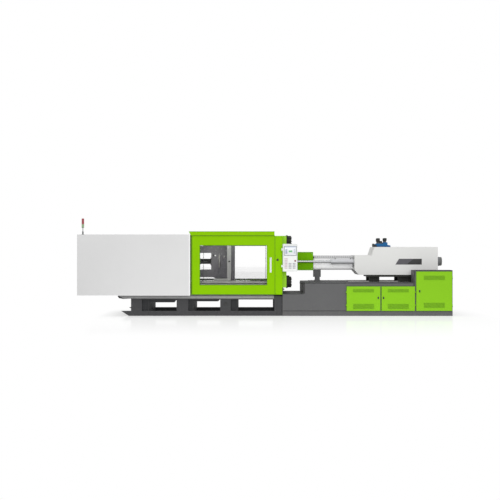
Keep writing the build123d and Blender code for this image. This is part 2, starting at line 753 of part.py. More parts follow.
with BuildPart() as crosshead:
    with BuildSketch(across(-CROSS_LAYER[0] + 5)):
        for level in MIRROR:
            with Locations((crosshead_x, AXIS_Z + level * CROSS_PIN_HEIGHT)):
                Circle(62)
        make_hull()
        rect((crosshead_x - 80, crosshead_x + 80), (AXIS_Z - 70, AXIS_Z + 70))
    extrude(amount=-2 * (CROSS_LAYER[0] - 5))
    for side in MIRROR:
        round_along(
            (crosshead_x - 90, crosshead_x + 90),
            side * GUIDE_BAR_OFFSET,
            AXIS_Z,
            GUIDE_BAR_R + RUN,
            mode=Mode.SUBTRACT,
        )
    for level in MIRROR:
        pin_across(
            crosshead_x,
            AXIS_Z + level * CROSS_PIN_HEIGHT,
            CROSS_PIN_R,
            (-CROSS_LAYER[1] - 6, CROSS_LAYER[1] + 6),
        )
    round_along((-4300, crosshead_x), 0, AXIS_Z, CLAMP_ROD_R)
    round_along((-4300, -4230), 0, AXIS_Z, CLAMP_BORE_R - RUN)
save(crosshead.part, "crosshead")

# Toggle links, upper and lower set


def eye_hull(a, b, r_a, r_b):
    """Straight link outline round two pin centres in the current sketch."""
    with Locations(a):
        Circle(r_a)
    with Locations(b):
        Circle(r_b)
    make_hull()


def holes(*eyes):
    """Pin holes (centre, radius) in the current sketch."""
    for centre, r in eyes:
        with Locations(centre):
            Circle(r, mode=Mode.SUBTRACT)


for level, set_name in ((1, "upper"), (-1, "lower")):
    rear_eye = (rear_pin_x, AXIS_Z + level * REAR_PIN_HEIGHT)
    knee = (knee_x, AXIS_Z + level * knee_height)
    front_eye = (FRONT_PIN_X, AXIS_Z + level * FRONT_PIN_HEIGHT)
    ear = (ear_x, AXIS_Z + level * ear_height)
    cross_eye = (crosshead_x, AXIS_Z + level * CROSS_PIN_HEIGHT)
    waist = (
        rear_eye[0] + 0.55 * (knee[0] - rear_eye[0]),
        rear_eye[1] + 0.55 * (knee[1] - rear_eye[1]),
    )

    with BuildPart() as rear_link:
        for y_low, y_high in both_sides(*REAR_LAYER):
            with BuildSketch(across(y_low)):
                eye_hull(rear_eye, knee, KNEE_EYE_R, KNEE_EYE_R)
                with BuildSketch(mode=Mode.PRIVATE) as ear_shape:
                    eye_hull(waist, ear, KNEE_EYE_R, EAR_EYE_R)
                add(ear_shape.sketch)
                holes((ear, CROSS_PIN_R), (knee, TOGGLE_PIN_R))
            extrude(amount=-(y_high - y_low))
            lug_low, lug_high = REAR_LUG_LAYERS[0][0], REAR_LUG_LAYERS[1][1]
            pin_span = (lug_low, lug_high) if y_low > 0 else (-lug_high, -lug_low)
            pin_across(*rear_eye, TOGGLE_PIN_R, pin_span)
    save(rear_link.part, f"rear_link_{set_name}")

    with BuildPart() as front_link:
        for y_low, y_high in both_sides(*FRONT_LAYER):
            with BuildSketch(across(y_low)):
                eye_hull(front_eye, knee, TOGGLE_EYE_R - 4, KNEE_EYE_R)
            extrude(amount=-(y_high - y_low))
            lug_low, lug_high = FRONT_LUG_LAYERS[0][0], FRONT_LUG_LAYERS[1][1]
            pin_span = (lug_low, lug_high) if y_low > 0 else (-lug_high, -lug_low)
            pin_across(*front_eye, TOGGLE_PIN_R, pin_span)
            cap = (y_high, y_high + 18) if y_low > 0 else (y_low - 18, y_low)
            pin_across(*knee, TOGGLE_PIN_R + 15, cap)
    save(front_link.part, f"front_link_{set_name}")

    with BuildPart() as crosshead_link:
        for y_low, y_high in both_sides(*CROSS_LAYER):
            with BuildSketch(across(y_low)):
                eye_hull(cross_eye, ear, CROSS_EYE_R, CROSS_EYE_R)
                holes((cross_eye, CROSS_PIN_R + RUN), (ear, CROSS_PIN_R))
            extrude(amount=-(y_high - y_low))
    save(crosshead_link.part, f"crosshead_link_{set_name}")

# Tube frame inside the housing, with the rails that carry the sliding doors

top_tube = (HOUSING_TOP_Z - SHEET - 31, HOUSING_TOP_Z - SHEET - 1)
low_tube_top = HOUSING_BOTTOM_Z + 40
with BuildPart() as housing_frame:
    for x in PORTALS:
        for y in both_sides(TUBE_INNER, TUBE_OUTER):
            bar((x, x + PORTAL_WIDTH), y, (BED_TOP_Z, top_tube[0] - WELD_GAP))
        bar(
            (x, x + PORTAL_WIDTH),
            (-TUBE_INNER + WELD_GAP, TUBE_INNER - WELD_GAP),
            top_tube,
        )
    for y in both_sides(TUBE_INNER, TUBE_OUTER):
        bar((MACHINE_LEFT + 60, 160), y, top_tube)
        bar((MACHINE_LEFT + 60, PORTALS[0] - WELD_GAP), y, (HOUSING_BOTTOM_Z, low_tube_top))
        bar(
            (MACHINE_LEFT + 60, MACHINE_LEFT + 100),
            y,
            (low_tube_top + WELD_GAP, top_tube[0] - WELD_GAP),
        )
    for x in (MACHINE_LEFT + 60, PORTALS[0], PORTALS[1]):
        for y in both_sides(TUBE_OUTER + WELD_GAP, MACHINE_HALF_WIDTH - SHEET):
            bar((x, x + 40), y, (HOUSING_TOP_Z - 19, HOUSING_TOP_Z - 7))
            low_z = HOUSING_BOTTOM_Z + SHEET + WELD_GAP
            bar((x, x + 40), y, (low_z, DOOR_BOTTOM_Z - 4))
    for z in DOOR_RAIL_Z:
        for y in both_sides(DOOR_RAIL_INNER, DOOR_RAIL_OUTER):
            bar((DOOR_RAIL_LEFT, DOOR_RAIL_RIGHT), y, (z, z + DOOR_RAIL_HEIGHT))
        for x in PORTALS:
            for y in both_sides(TUBE_OUTER + WELD_GAP, DOOR_RAIL_INNER - WELD_GAP):
                bar((x, x + PORTAL_WIDTH), y, (z + 10, z + 20))
save(housing_frame.part, "housing_frame")

# Sheet housing: two side pans, a roof and an end wall

with BuildPart() as housing_side_covers:
    cover_x = (MACHINE_LEFT + SHEET + WELD_GAP, HOUSING_RIGHT)
    cover_z = (HOUSING_BOTTOM_Z, HOUSING_TOP_Z - SHEET - WELD_GAP)
    for side in MIRROR:
        with BuildSketch(across(side * MACHINE_HALF_WIDTH)):
            rect(cover_x, cover_z)
        extrude(amount=side * HOUSING_RETURN)
        with BuildSketch(across(side * (MACHINE_HALF_WIDTH - SHEET))):
            rect((cover_x[0], cover_x[1] - SHEET), (cover_z[0] + SHEET, cover_z[1] - SHEET))
        extrude(amount=side * HOUSING_RETURN, mode=Mode.SUBTRACT)
save(housing_side_covers.part, "housing_side_covers")

with BuildPart() as housing_roof:
    half = MACHINE_HALF_WIDTH
    bar((MACHINE_LEFT, HOUSING_RIGHT), (-half, half), (HOUSING_TOP_Z - SHEET, HOUSING_TOP_Z))
    bar(
        (MACHINE_LEFT, MACHINE_LEFT + SHEET),
        (-half, half),
        (HOUSING_BOTTOM_Z, HOUSING_TOP_Z - SHEET - WELD_GAP),
    )
save(housing_roof.part, "housing_roof")

# Canopy over the mould area

with BuildPart() as canopy:
    with BuildSketch(Plane.XZ):
        with BuildLine():
            Polyline(
                (CANOPY_LEFT, CANOPY_TOP_Z),
                (CANOPY_RIGHT, CANOPY_TOP_Z),
                (CANOPY_RIGHT, CANOPY_SKIRT_Z),
                (CANOPY_LEFT + CANOPY_SLANT, CANOPY_SKIRT_Z),
                close=True,
            )
        make_face()
    extrude(amount=CANOPY_HALF_WIDTH, both=True)
    underside = canopy.faces().sort_by(Axis.Z)[0]
    offset(amount=-SHEET, openings=underside, kind=Kind.INTERSECTION)
    bar(
        (CANOPY_LEFT, CANOPY_LEFT + CANOPY_SLANT + 10),
        (-CANOPY_HALF_WIDTH + SHEET, CANOPY_HALF_WIDTH - SHEET),
        (CANOPY_SKIRT_Z - 1, HOUSING_TOP_Z + 2),
        mode=Mode.SUBTRACT,
    )
    for y in both_sides(TUBE_INNER + 10, TUBE_INNER + 16):
        bar((-1980, 150), y, (top_tube[1], CANOPY_TOP_Z - SHEET))
save(canopy.part, "canopy")

# Sliding safety doors, front and rear: pressed frame with a window, pane, handle and guide shoes

for side, door_name, (window_x, window_z) in (
    (-1, "front", FRONT_WINDOW),
    (1, "rear", REAR_WINDOW),
):
    face_y = side * DOOR_FACE_Y
    back_y = side * (DOOR_FACE_Y - DOOR_DEPTH)
    inward = side * DOOR_DEPTH
    with BuildPart() as door_frame:
        with BuildSketch(across(face_y)):
            rect((DOOR_LEFT, DOOR_RIGHT), (DOOR_BOTTOM_Z, DOOR_TOP_Z))
            rect(window_x, window_z, mode=Mode.SUBTRACT)
        extrude(amount=inward)
        with BuildSketch(across(back_y)):
            rect(
                (DOOR_LEFT + SHEET, DOOR_RIGHT - SHEET),
                (DOOR_BOTTOM_Z + SHEET, DOOR_TOP_Z - SHEET),
            )
            rect(
                (window_x[0] - SHEET, window_x[1] + SHEET),
                (window_z[0] - SHEET, window_z[1] + SHEET),
                mode=Mode.SUBTRACT,
            )
        extrude(amount=-side * (DOOR_DEPTH - SHEET), mode=Mode.SUBTRACT)
        left_edge = (
            door_frame.edges()
            .filter_by(Axis.Z)
            .filter_by_position(Axis.X, DOOR_LEFT - 1, DOOR_LEFT + 1)
            .filter_by_position(Axis.Y, face_y - 1, face_y + 1)
        )
        chamfer(left_edge, SHEET - 0.5)
        with BuildSketch(across(face_y)):
            with Locations((HANDLE_X, (HANDLE_BOTTOM_Z + HANDLE_TOP_Z) / 2)):
                SlotOverall(HANDLE_TOP_Z - HANDLE_BOTTOM_Z, 44, rotation=90)
        extrude(amount=inward, mode=Mode.SUBTRACT)
        for rail_z in DOOR_RAIL_Z:
            middle = rail_z + DOOR_RAIL_HEIGHT / 2
            for shoe_x in (DOOR_LEFT + 130, DOOR_RIGHT - 170):
                with BuildSketch(Plane.YZ.offset(shoe_x - 60)):
                    rect(
                        sorted((side * (DOOR_RAIL_INNER - 9), face_y - side * SHEET)),
                        (middle - 32, middle + 32),
                    )
                    rect(
                        sorted((side * (DOOR_RAIL_INNER - 10), side * (DOOR_RAIL_OUTER + 1))),
                        (middle - DOOR_RAIL_HEIGHT / 2 - GAP, middle + DOOR_RAIL_HEIGHT / 2 + GAP),
                        mode=Mode.SUBTRACT,
                    )
                extrude(amount=120)
    save(door_frame.part, f"{door_name}_door_frame")

    with BuildPart() as door_pane:
        with BuildSketch(across(side * (DOOR_FACE_Y - 28))):
            rect(window_x, window_z)
        extrude(amount=side * PANE_THICKNESS)
    save(door_pane.part, f"{door_name}_door_pane")

    if side < 0:
        with BuildPart() as door_handle:
            with BuildSketch(across(face_y)):
                with Locations((HANDLE_X, (HANDLE_BOTTOM_Z + HANDLE_TOP_Z) / 2)):
                    SlotOverall(HANDLE_TOP_Z - HANDLE_BOTTOM_Z, 44, rotation=90)
            extrude(amount=side * 40)
            grip_face = door_handle.faces().sort_by(Axis.Y)[0]
            offset(amount=-4, openings=grip_face)
        save(door_handle.part, "front_door_handle")

# Guards on both sides of the fixed platen, with the panel's hinge lugs on the front one

with BuildPart() as platen_guards:
    for side in MIRROR:
        for x, z, face_y in (
            ((DOOR_RIGHT + 1, GUARD_RIGHT), (GUARD_BOTTOM_Z, GUARD_TOP_Z), DOOR_FACE_Y),
            (
                (GUARD_RIGHT + WELD_GAP, STEP_RIGHT),
                (STEP_BOTTOM_Z, GUARD_TOP_Z + 3),
                STEP_FACE_Y,
            ),
        ):
            depth = face_y - PLATEN_HALF_WIDTH - WELD_GAP
            with BuildSketch(across(side * face_y)):
                rect(x, z)
            extrude(amount=side * depth)
            with BuildSketch(across(side * (face_y - SHEET))):
                rect((x[0] + SHEET, x[1] - SHEET), (z[0] + SHEET, z[1] - SHEET))
            extrude(amount=side * depth, mode=Mode.SUBTRACT)
    for z in PANEL_KNUCKLES:
        for lug in ((z - 30, z - GAP), (z + KNUCKLE_HEIGHT + GAP, z + KNUCKLE_HEIGHT + 30)):
            with BuildSketch(Plane.XY.offset(lug[0])):
                with Locations((PANEL_PIVOT_X, PANEL_PIVOT_Y)):
                    Circle(PANEL_KNUCKLE_R)
                rect(
                    (PANEL_PIVOT_X - 8, PANEL_PIVOT_X + 8),
                    (PANEL_PIVOT_Y, -DOOR_FACE_Y),
                )
            extrude(amount=lug[1] - lug[0])
        upright(
            PANEL_PIVOT_X,
            PANEL_PIVOT_Y,
            PANEL_PIN_R,
            (z - 20, z + KNUCKLE_HEIGHT + 20),
        )
    pin_across(
        BUTTON_X,
        BUTTON_Z,
        12 + RUN,
        (-DOOR_FACE_Y - 1, -DOOR_FACE_Y + SHEET + 1),
        mode=Mode.SUBTRACT,
    )
save(platen_guards.part, "platen_guards")

with BuildPart() as guard_button:
    pin_across(BUTTON_X, BUTTON_Z, BUTTON_R, (-DOOR_FACE_Y - 22, -DOOR_FACE_Y - 8))
    pin_across(BUTTON_X, BUTTON_Z, 12, (-DOOR_FACE_Y - 8, -DOOR_FACE_Y + 20))
    crown = guard_button.edges().filter_by(GeomType.CIRCLE).sort_by(Axis.Y)[0]
    fillet(crown, 6)
save(guard_button.part, "guard_button")

# Operator panel on its hinge

panel_front_y = -MACHINE_HALF_WIDTH
with BuildPart() as hmi_housing:
    with BuildSketch(across(panel_front_y + PANEL_FACE_INSET)):
        rect((PANEL_LEFT, PANEL_RIGHT), (PANEL_BOTTOM_Z, PANEL_TOP_Z))
    extrude(amount=-(PANEL_DEPTH - PANEL_FACE_INSET))
    upright_edges = hmi_housing.edges().filter_by(Axis.Y)
    fillet(upright_edges, 14)
    for z in PANEL_KNUCKLES:
        with BuildSketch(Plane.XY.offset(z)):
            with Locations((PANEL_PIVOT_X, PANEL_PIVOT_Y)):
                Circle(PANEL_KNUCKLE_R)
            rect((PANEL_PIVOT_X, PANEL_LEFT + 2), (PANEL_PIVOT_Y - 8, PANEL_PIVOT_Y + 8))
            with Locations((PANEL_PIVOT_X, PANEL_PIVOT_Y)):
                Circle(PANEL_PIN_R + RUN, mode=Mode.SUBTRACT)
        extrude(amount=KNUCKLE_HEIGHT)
    recess_y = (panel_front_y, panel_front_y + PANEL_FACE_INSET + ESTOP_RECESS)
    pin_across(ESTOP_X, ESTOP_Z, ESTOP_R + 3, recess_y, mode=Mode.SUBTRACT)
    stem_y = (recess_y[1], panel_front_y + 45)
    pin_across(ESTOP_X, ESTOP_Z, ESTOP_STEM_R + RUN, stem_y, mode=Mode.SUBTRACT)
save(hmi_housing.part, "hmi_housing")

with BuildPart() as hmi_front:
    with BuildSketch(across(panel_front_y)):
        rect(SCREEN[:2], SCREEN[2:])
    extrude(amount=-PANEL_FACE_INSET)
    for inset, rows in ((47, 7), (156, 4), (265, 4)):
        key_x = PANEL_LEFT + inset
        for row in range(rows):
            key_z = KEY_LOWEST_Z + KEY_PITCH * row
            with BuildSketch(across(panel_front_y)):
                rect((key_x, key_x + KEY_WIDTH), (key_z, key_z + KEY_HEIGHT))
            extrude(amount=-PANEL_FACE_INSET)
save(hmi_front.part, "hmi_front")

with BuildPart() as hmi_estop:
    pin_across(ESTOP_X, ESTOP_Z, ESTOP_R, (panel_front_y, panel_front_y + 2))
    pin_across(ESTOP_X, ESTOP_Z, ESTOP_STEM_R, (panel_front_y + 2, panel_front_y + 36))
save(hmi_estop.part, "hmi_estop")

# Signal tower on the housing roof

tower_x = MACHINE_LEFT + 87
tower_y = -700
TOWER_R = 33
green_base = HOUSING_TOP_Z + 198
red_base = green_base + 91
with BuildPart() as beacon_pole:
    upright(tower_x, tower_y, TOWER_R, (HOUSING_TOP_Z, HOUSING_TOP_Z + 18))
    upright(tower_x, tower_y, 18, (HOUSING_TOP_Z + 18, HOUSING_TOP_Z + 75))
    upright(tower_x, tower_y, 9, (HOUSING_TOP_Z + 75, green_base - 8))
    upright(tower_x, tower_y, TOWER_R, (green_base - 8, green_base))
save(beacon_pole.part, "beacon_pole")
with BuildPart() as beacon_green:
    upright(tower_x, tower_y, TOWER_R, (green_base, red_base))
save(beacon_green.part, "beacon_green")
with BuildPart() as beacon_red:
    upright(tower_x, tower_y, TOWER_R, (red_base, red_base + 156))
    fillet(beacon_red.edges().sort_by(Axis.Z)[-1], 14)
save(beacon_red.part, "beacon_red")

# Injection bed: plinth tray, stepped welded box and the barrel's support post

with BuildPart() as injection_bed:
    with BuildSketch(Plane.XZ):
        with BuildLine():
            Polyline(
                (BED_JOINT_X, PLINTH_Z),
                (BED_JOINT_X, LOW_BOX_TOP_Z),
                (HIGH_BOX_LEFT, LOW_BOX_TOP_Z),
                (HIGH_BOX_LEFT, HIGH_BOX_TOP_Z),
                (CABINET_LEFT, HIGH_BOX_TOP_Z),
                (CABINET_LEFT, PLINTH_Z),
                close=True,
            )
        make_face()
    extrude(amount=INJECTION_HALF_WIDTH, both=True)
    box_underside = injection_bed.faces().sort_by(Axis.Z)[0]
    offset(amount=-12, openings=box_underside, kind=Kind.INTERSECTION)
    half = PLINTH_HALF_WIDTH
    bar((BED_JOINT_X, MACHINE_RIGHT), (-half, half), (0, PLINTH_Z))
    bar(
        (BED_JOINT_X + 20, MACHINE_RIGHT - 20),
        (-half + 20, half - 20),
        (0, PLINTH_Z - 12),
        mode=Mode.SUBTRACT,
    )
    bar((HIGH_BOX_LEFT - 63, HIGH_BOX_LEFT), (-200, 200), (850, 880))
    with BuildSketch(across(-130)):
        rect((1363, 1562), (1040, 1240))
        with BuildLine():
            Polyline(
                (1408, 1040),
                (1534, 1040),
                (1534, 960),
                (1600, 922),
                (1600, HIGH_BOX_TOP_Z),
                (1360, HIGH_BOX_TOP_Z),
                (1360, 922),
                (1408, 960),
                close=True,
            )
        make_face()
    extrude(amount=-260)
save(injection_bed.part, "injection_bed")

# Cabinet frame: decks, fascia, partition and the louvred rear panels


def fixed_knuckles(x, top_z, face_y):
    """Hinge pins of one door, each on a short arm from the frame face."""
    for z in (SMALL_DOOR_BOTTOM_Z + HINGE_INSET, top_z - HINGE_INSET - HINGE_LENGTH):
        upright(x, HINGE_Y, HINGE_R, (z - 25, z))
        upright(x, HINGE_Y, HINGE_PIN_R, (z, z + HINGE_LENGTH - 2))
        with BuildSketch(Plane.XY.offset(z - 25)) as arm:
            rect((x - 4, x + 4), (HINGE_Y, face_y))
        extrude(arm.sketch, amount=25)


deck_z = (HIGH_BOX_TOP_Z - 20, HIGH_BOX_TOP_Z)
wall_z = (PLINTH_Z + WELD_GAP, HIGH_BOX_TOP_Z - 20 - WELD_GAP)
rear_panel_y = (INJECTION_HALF_WIDTH - 12, INJECTION_HALF_WIDTH)
front_y = -INJECTION_HALF_WIDTH
with BuildPart() as cabinet_frame:
    bar((CABINET_LEFT + WELD_GAP, CONTROL_LEFT - WELD_GAP), (front_y, -front_y), deck_z)
    bar((CONTROL_LEFT, CONTROL_RIGHT), (CONTROL_BACK_Y + WELD_GAP, -front_y), deck_z)
    bar(
        (CABINET_LEFT + WELD_GAP, CONTROL_LEFT - WELD_GAP),
        (front_y, front_y + 20),
        (SMALL_DOOR_TOP_Z + 2, deck_z[0] - WELD_GAP),
    )
    bar(
        (CABINET_LEFT + WELD_GAP, LEFT_DOOR[0] - 2),
        (front_y, front_y + 20),
        (wall_z[0], SMALL_DOOR_TOP_Z + 2 - WELD_GAP),
    )
    hinge_x = LEFT_DOOR[0] - HINGE_R
    fixed_knuckles(hinge_x, SMALL_DOOR_TOP_Z, front_y)
    door_gap = PARTITION_X
    bar((door_gap - 6, door_gap + 6), (front_y + 6 + WELD_GAP, rear_panel_y[0] - WELD_GAP), wall_z)
    bar(
        (door_gap - DOOR_STOP, door_gap + DOOR_STOP),
        (front_y, front_y + 6),
        (wall_z[0], SMALL_DOOR_TOP_Z + 2 - WELD_GAP),
    )
    for x in ((CONTROL_LEFT, CONTROL_LEFT + 20), (CONTROL_RIGHT - 12, CONTROL_RIGHT)):
        bar(x, (CONTROL_BACK_Y + WELD_GAP, rear_panel_y[0] - WELD_GAP), wall_z)
    panel_edges = (CABINET_LEFT + 10, door_gap - 7, CONTROL_LEFT + 1, CONTROL_RIGHT)
    for x_low, x_high in zip(panel_edges, panel_edges[1:]):
        with BuildSketch(across(rear_panel_y[0])):
            rect((x_low + 1, x_high - 1), wall_z)
            middle = (x_low + x_high) / 2
            with Locations((middle, 690), (middle, 300)):
                with GridLocations(0, 34, 1, 5):
                    Rectangle(520, 12, mode=Mode.SUBTRACT)
        extrude(amount=-12)
save(cabinet_frame.part, "cabinet_frame")

# Control cabinet: a welded steel case with a framed front, its mounting plate and switchgear

case_x = (CONTROL_LEFT, CONTROL_RIGHT)
case_z = (PLINTH_Z + WELD_GAP, CONTROL_TOP_Z)
case_y = (CONTROL_FRONT_Y + CASE_WALL + WELD_GAP, CONTROL_BACK_Y)
inner_x = (case_x[0] + CASE_WALL + WELD_GAP, case_x[1] - CASE_WALL - WELD_GAP)
inner_z = (case_z[0] + CASE_WALL + WELD_GAP, case_z[1] - CASE_WALL - WELD_GAP)
plate_y = (CONTROL_BACK_Y - CASE_WALL - 18, CONTROL_BACK_Y - CASE_WALL - WELD_GAP)
front_frame_y = (CONTROL_FRONT_Y, CONTROL_FRONT_Y + CASE_WALL)
mouth_x = (CONTROL_DOOR[0] + 54, CONTROL_DOOR[1] - 10)
mouth_z = (SMALL_DOOR_BOTTOM_Z + 22, TALL_DOOR_TOP_Z - 16)
SWITCH_WIDTH = 120
SWITCH_PITCH = 160
SWITCH_DEPTH = 120
with BuildPart() as control_cabinet:
    for x in ((case_x[0], mouth_x[0]), (mouth_x[1], case_x[1])):
        bar(x, front_frame_y, case_z)
    for z in ((case_z[0], mouth_z[0]), (mouth_z[1], case_z[1])):
        bar((mouth_x[0] + WELD_GAP, mouth_x[1] - WELD_GAP), front_frame_y, z)
    fixed_knuckles(CONTROL_DOOR[1] + HINGE_R, TALL_DOOR_TOP_Z, CONTROL_FRONT_Y)
    fixed_knuckles(RIGHT_DOOR[1] + HINGE_R, SMALL_DOOR_TOP_Z, CONTROL_FRONT_Y)
    bar(case_x, case_y, (case_z[0], case_z[0] + CASE_WALL))
    bar(case_x, case_y, (case_z[1] - CASE_WALL, case_z[1]))
    bar((case_x[0], case_x[0] + CASE_WALL), case_y, inner_z)
    bar((case_x[1] - CASE_WALL, case_x[1]), case_y, inner_z)
    bar(inner_x, (CONTROL_BACK_Y - CASE_WALL, CONTROL_BACK_Y), inner_z)
    bar((CONTROL_LEFT + 91, CONTROL_RIGHT - 89), plate_y, (200, TALL_DOOR_TOP_Z - 31))
    for row_z, height in ((980, 150), (720, 200), (420, 240)):
        for unit in range(5):
            unit_x = CONTROL_LEFT + 141 + SWITCH_PITCH * unit
            unit_y = (plate_y[0] - SWITCH_DEPTH, plate_y[0] - WELD_GAP)
            bar((unit_x, unit_x + SWITCH_WIDTH), unit_y, (row_z, row_z + height))
save(control_cabinet.part, "control_cabinet")

# Hydraulic oil tank and the motor with its pump

TANK_WALL = 6
TANK_HALF_DEPTH = 680
TANK_Y = 180
tank_x = (CABINET_LEFT + 70, PARTITION_X - 47)
tank_y = (TANK_Y - TANK_HALF_DEPTH, TANK_Y + TANK_HALF_DEPTH)
tank_z = (PLINTH_Z, PLINTH_Z + 640)
with BuildPart() as oil_tank:
    bar(tank_x, tank_y, (tank_z[1] - TANK_WALL, tank_z[1]))
    side_z = (tank_z[0], tank_z[1] - TANK_WALL - WELD_GAP)
    for x in ((tank_x[0], tank_x[0] + TANK_WALL), (tank_x[1] - TANK_WALL, tank_x[1])):
        bar(x, tank_y, side_z)
    end_x = (tank_x[0] + TANK_WALL + WELD_GAP, tank_x[1] - TANK_WALL - WELD_GAP)
    for y in ((tank_y[0], tank_y[0] + TANK_WALL), (tank_y[1] - TANK_WALL, tank_y[1])):
        bar(end_x, y, side_z)
    upright(tank_x[0] + 190, -300, 60, (tank_z[1], tank_z[1] + 50))
    upright(tank_x[0] + 190, -300, 72, (tank_z[1] + 50, tank_z[1] + 76))
save(oil_tank.part, "oil_tank")

PUMP_Y = -150
PUMP_Z = 450
pump_front_x = PARTITION_X + 63
pump_length = CONTROL_LEFT - 69 - pump_front_x
pump_profile = (
    (0, 0),
    (0, 110),
    (0.1, 190),
    (0.66, 190),
    (0.71, 110),
    (0.71, 80),
    (0.79, 80),
    (0.79, 95),
    (0.87, 95),
    (0.87, 70),
    (1, 70),
    (1, 0),
)
with BuildPart() as pump_motor:
    with BuildSketch(Plane.XZ.offset(-PUMP_Y)):
        with BuildLine():
            Polyline(
                *[
                    (pump_front_x + share * pump_length, PUMP_Z + radius)
                    for share, radius in pump_profile
                ],
                close=True,
            )
        make_face()
    revolve(axis=Axis((0, PUMP_Y, PUMP_Z), (1, 0, 0)))
    foot_y = (PUMP_Y - 180, PUMP_Y + 180)
    foot_x = (pump_front_x + 0.1 * pump_length, pump_front_x + 0.63 * pump_length)
    bar(foot_x, foot_y, (PLINTH_Z, PLINTH_Z + 45))
    for x in (foot_x[0] + 40, foot_x[1] - 80):
        bar((x, x + 60), (PUMP_Y - 120, PUMP_Y + 120), (PLINTH_Z + 45, PUMP_Z - 100))
save(pump_motor.part, "pump_motor")


# Cabinet doors: folded sheet pans with louvres, lift-off hinges and quarter-turn latches

for side_name, (left, right), hinge_side, top_z, louvres, latch_place, cam_y in (
    ("cabinet_left", LEFT_DOOR, -1, SMALL_DOOR_TOP_Z, ((690, 4), (261, 6)), LEFT_LATCH, CAM_Y),
    ("cabinet_right", RIGHT_DOOR, 1, SMALL_DOOR_TOP_Z, ((690, 4), (261, 6)), RIGHT_LATCH, CAM_Y),
    ("control", CONTROL_DOOR, 1, TALL_DOOR_TOP_Z, ((1040, 5), (292, 6)), CONTROL_LATCH, CONTROL_CAM_Y),
):
    hinge_x = (right if hinge_side > 0 else left) + hinge_side * HINGE_R
    leaf = sorted((hinge_x, hinge_x - hinge_side * (HINGE_R + SHEET)))
    with BuildPart() as cabinet_door:
        with BuildSketch(across(DOOR_SHEET_FACE_Y)):
            rect((left, right), (SMALL_DOOR_BOTTOM_Z, top_z))
        extrude(amount=-DOOR_SHEET_DEPTH)
        pan_back = cabinet_door.faces().sort_by(Axis.Y)[-1]
        offset(amount=-SHEET, openings=pan_back, kind=Kind.INTERSECTION)
        with BuildSketch(across(DOOR_SHEET_FACE_Y)):
            for centre_z, rows in louvres:
                with Locations(((left + right) / 2, centre_z)):
                    with GridLocations(0, LOUVRE_PITCH, 1, rows):
                        Rectangle(LOUVRE_WIDTH, LOUVRE_SLOT)
        extrude(amount=-SHEET, mode=Mode.SUBTRACT)
        door_skin = (DOOR_SHEET_FACE_Y, DOOR_SHEET_FACE_Y + SHEET)
        pin_across(*latch_place, LATCH_R + RUN, door_skin, mode=Mode.SUBTRACT)
        for z in (SMALL_DOOR_BOTTOM_Z + HINGE_INSET, top_z - HINGE_INSET - HINGE_LENGTH):
            with BuildSketch(Plane.XY.offset(z + GAP)):
                with Locations((hinge_x, HINGE_Y)):
                    Circle(HINGE_R)
                rect(leaf, (HINGE_Y - 3, HINGE_Y + 3))
                with Locations((hinge_x, HINGE_Y)):
                    Circle(HINGE_PIN_R + RUN, mode=Mode.SUBTRACT)
            extrude(amount=HINGE_LENGTH)
    save(cabinet_door.part, f"{side_name}_door")

    with BuildPart() as latch:
        pin_across(*latch_place, 15, (DOOR_SHEET_FACE_Y - 5, DOOR_SHEET_FACE_Y - GAP))
        with BuildSketch(across(DOOR_SHEET_FACE_Y - 5)):
            with Locations(latch_place):
                SlotOverall(54, 14, rotation=90)
        extrude(amount=10)
        pin_across(*latch_place, LATCH_R, (DOOR_SHEET_FACE_Y - GAP, cam_y + 6))
        with BuildSketch(across(cam_y)):
            with Locations((latch_place[0], latch_place[1] - CAM_REACH / 2 + 5)):
                SlotOverall(CAM_REACH + 10, 20, rotation=90)
        extrude(amount=-5)
    save(latch.part, f"{side_name}_latch")

# Purge guard: fixed rails behind the platen and the sliding hood that rides on them

with BuildPart() as purge_guard_rails:
    for y in both_sides(PURGE_HALF_WIDTH - 30, PURGE_HALF_WIDTH - SHEET - GAP):
        bar((FIXED_REAR_X, PURGE_RIGHT), y, (1690, 1720))
save(purge_guard_rails.part, "purge_guard_rails")

with BuildPart() as purge_guard:
    with BuildSketch(Plane.YZ.offset(PURGE_LEFT)):
        rect((-PURGE_HALF_WIDTH, PURGE_HALF_WIDTH), (PURGE_BOTTOM_Z, PURGE_TOP_Z))
        rect(
            (-PURGE_HALF_WIDTH + SHEET, PURGE_HALF_WIDTH - SHEET),
            (PURGE_BOTTOM_Z - 1, PURGE_TOP_Z - SHEET),
            mode=Mode.SUBTRACT,
        )
        for y in both_sides(PURGE_HALF_WIDTH - 30, PURGE_HALF_WIDTH - SHEET):
            rect(y, (1720 + GAP, PURGE_TOP_Z - SHEET))
    extrude(amount=PURGE_RIGHT - PURGE_LEFT)
save(purge_guard.part, "purge_guard")

# Carriage: base on four rail blocks, traverse cylinders and their rods from the fixed platen

with BuildPart() as carriage_base:
    bar((2834, 4150), (-COVER_HALF_WIDTH, COVER_HALF_WIDTH), (1050, CARRIAGE_TOP_Z))
    for x in ((2892, 3169), (3696, 4095)):
        for y in both_sides(RAIL_INNER - 30, RAIL_INNER + RAIL_WIDTH + 30):
            bar(x, y, (HIGH_BOX_TOP_Z + 8, 1050))
    for y in both_sides(RAIL_INNER - 0.5, RAIL_INNER + RAIL_WIDTH + 0.5):
        bar((2834, 4150), y, (0, HIGH_BOX_TOP_Z + RAIL_HEIGHT + GAP), mode=Mode.SUBTRACT)
save(carriage_base.part, "carriage_base")

with BuildPart() as carriage_rods:
    for side in MIRROR:
        round_along((FIXED_REAR_X, CARRIAGE_ROD_END), side * CYLINDER_Y, AXIS_Z, CARRIAGE_ROD_R)
save(carriage_rods.part, "carriage_rods")

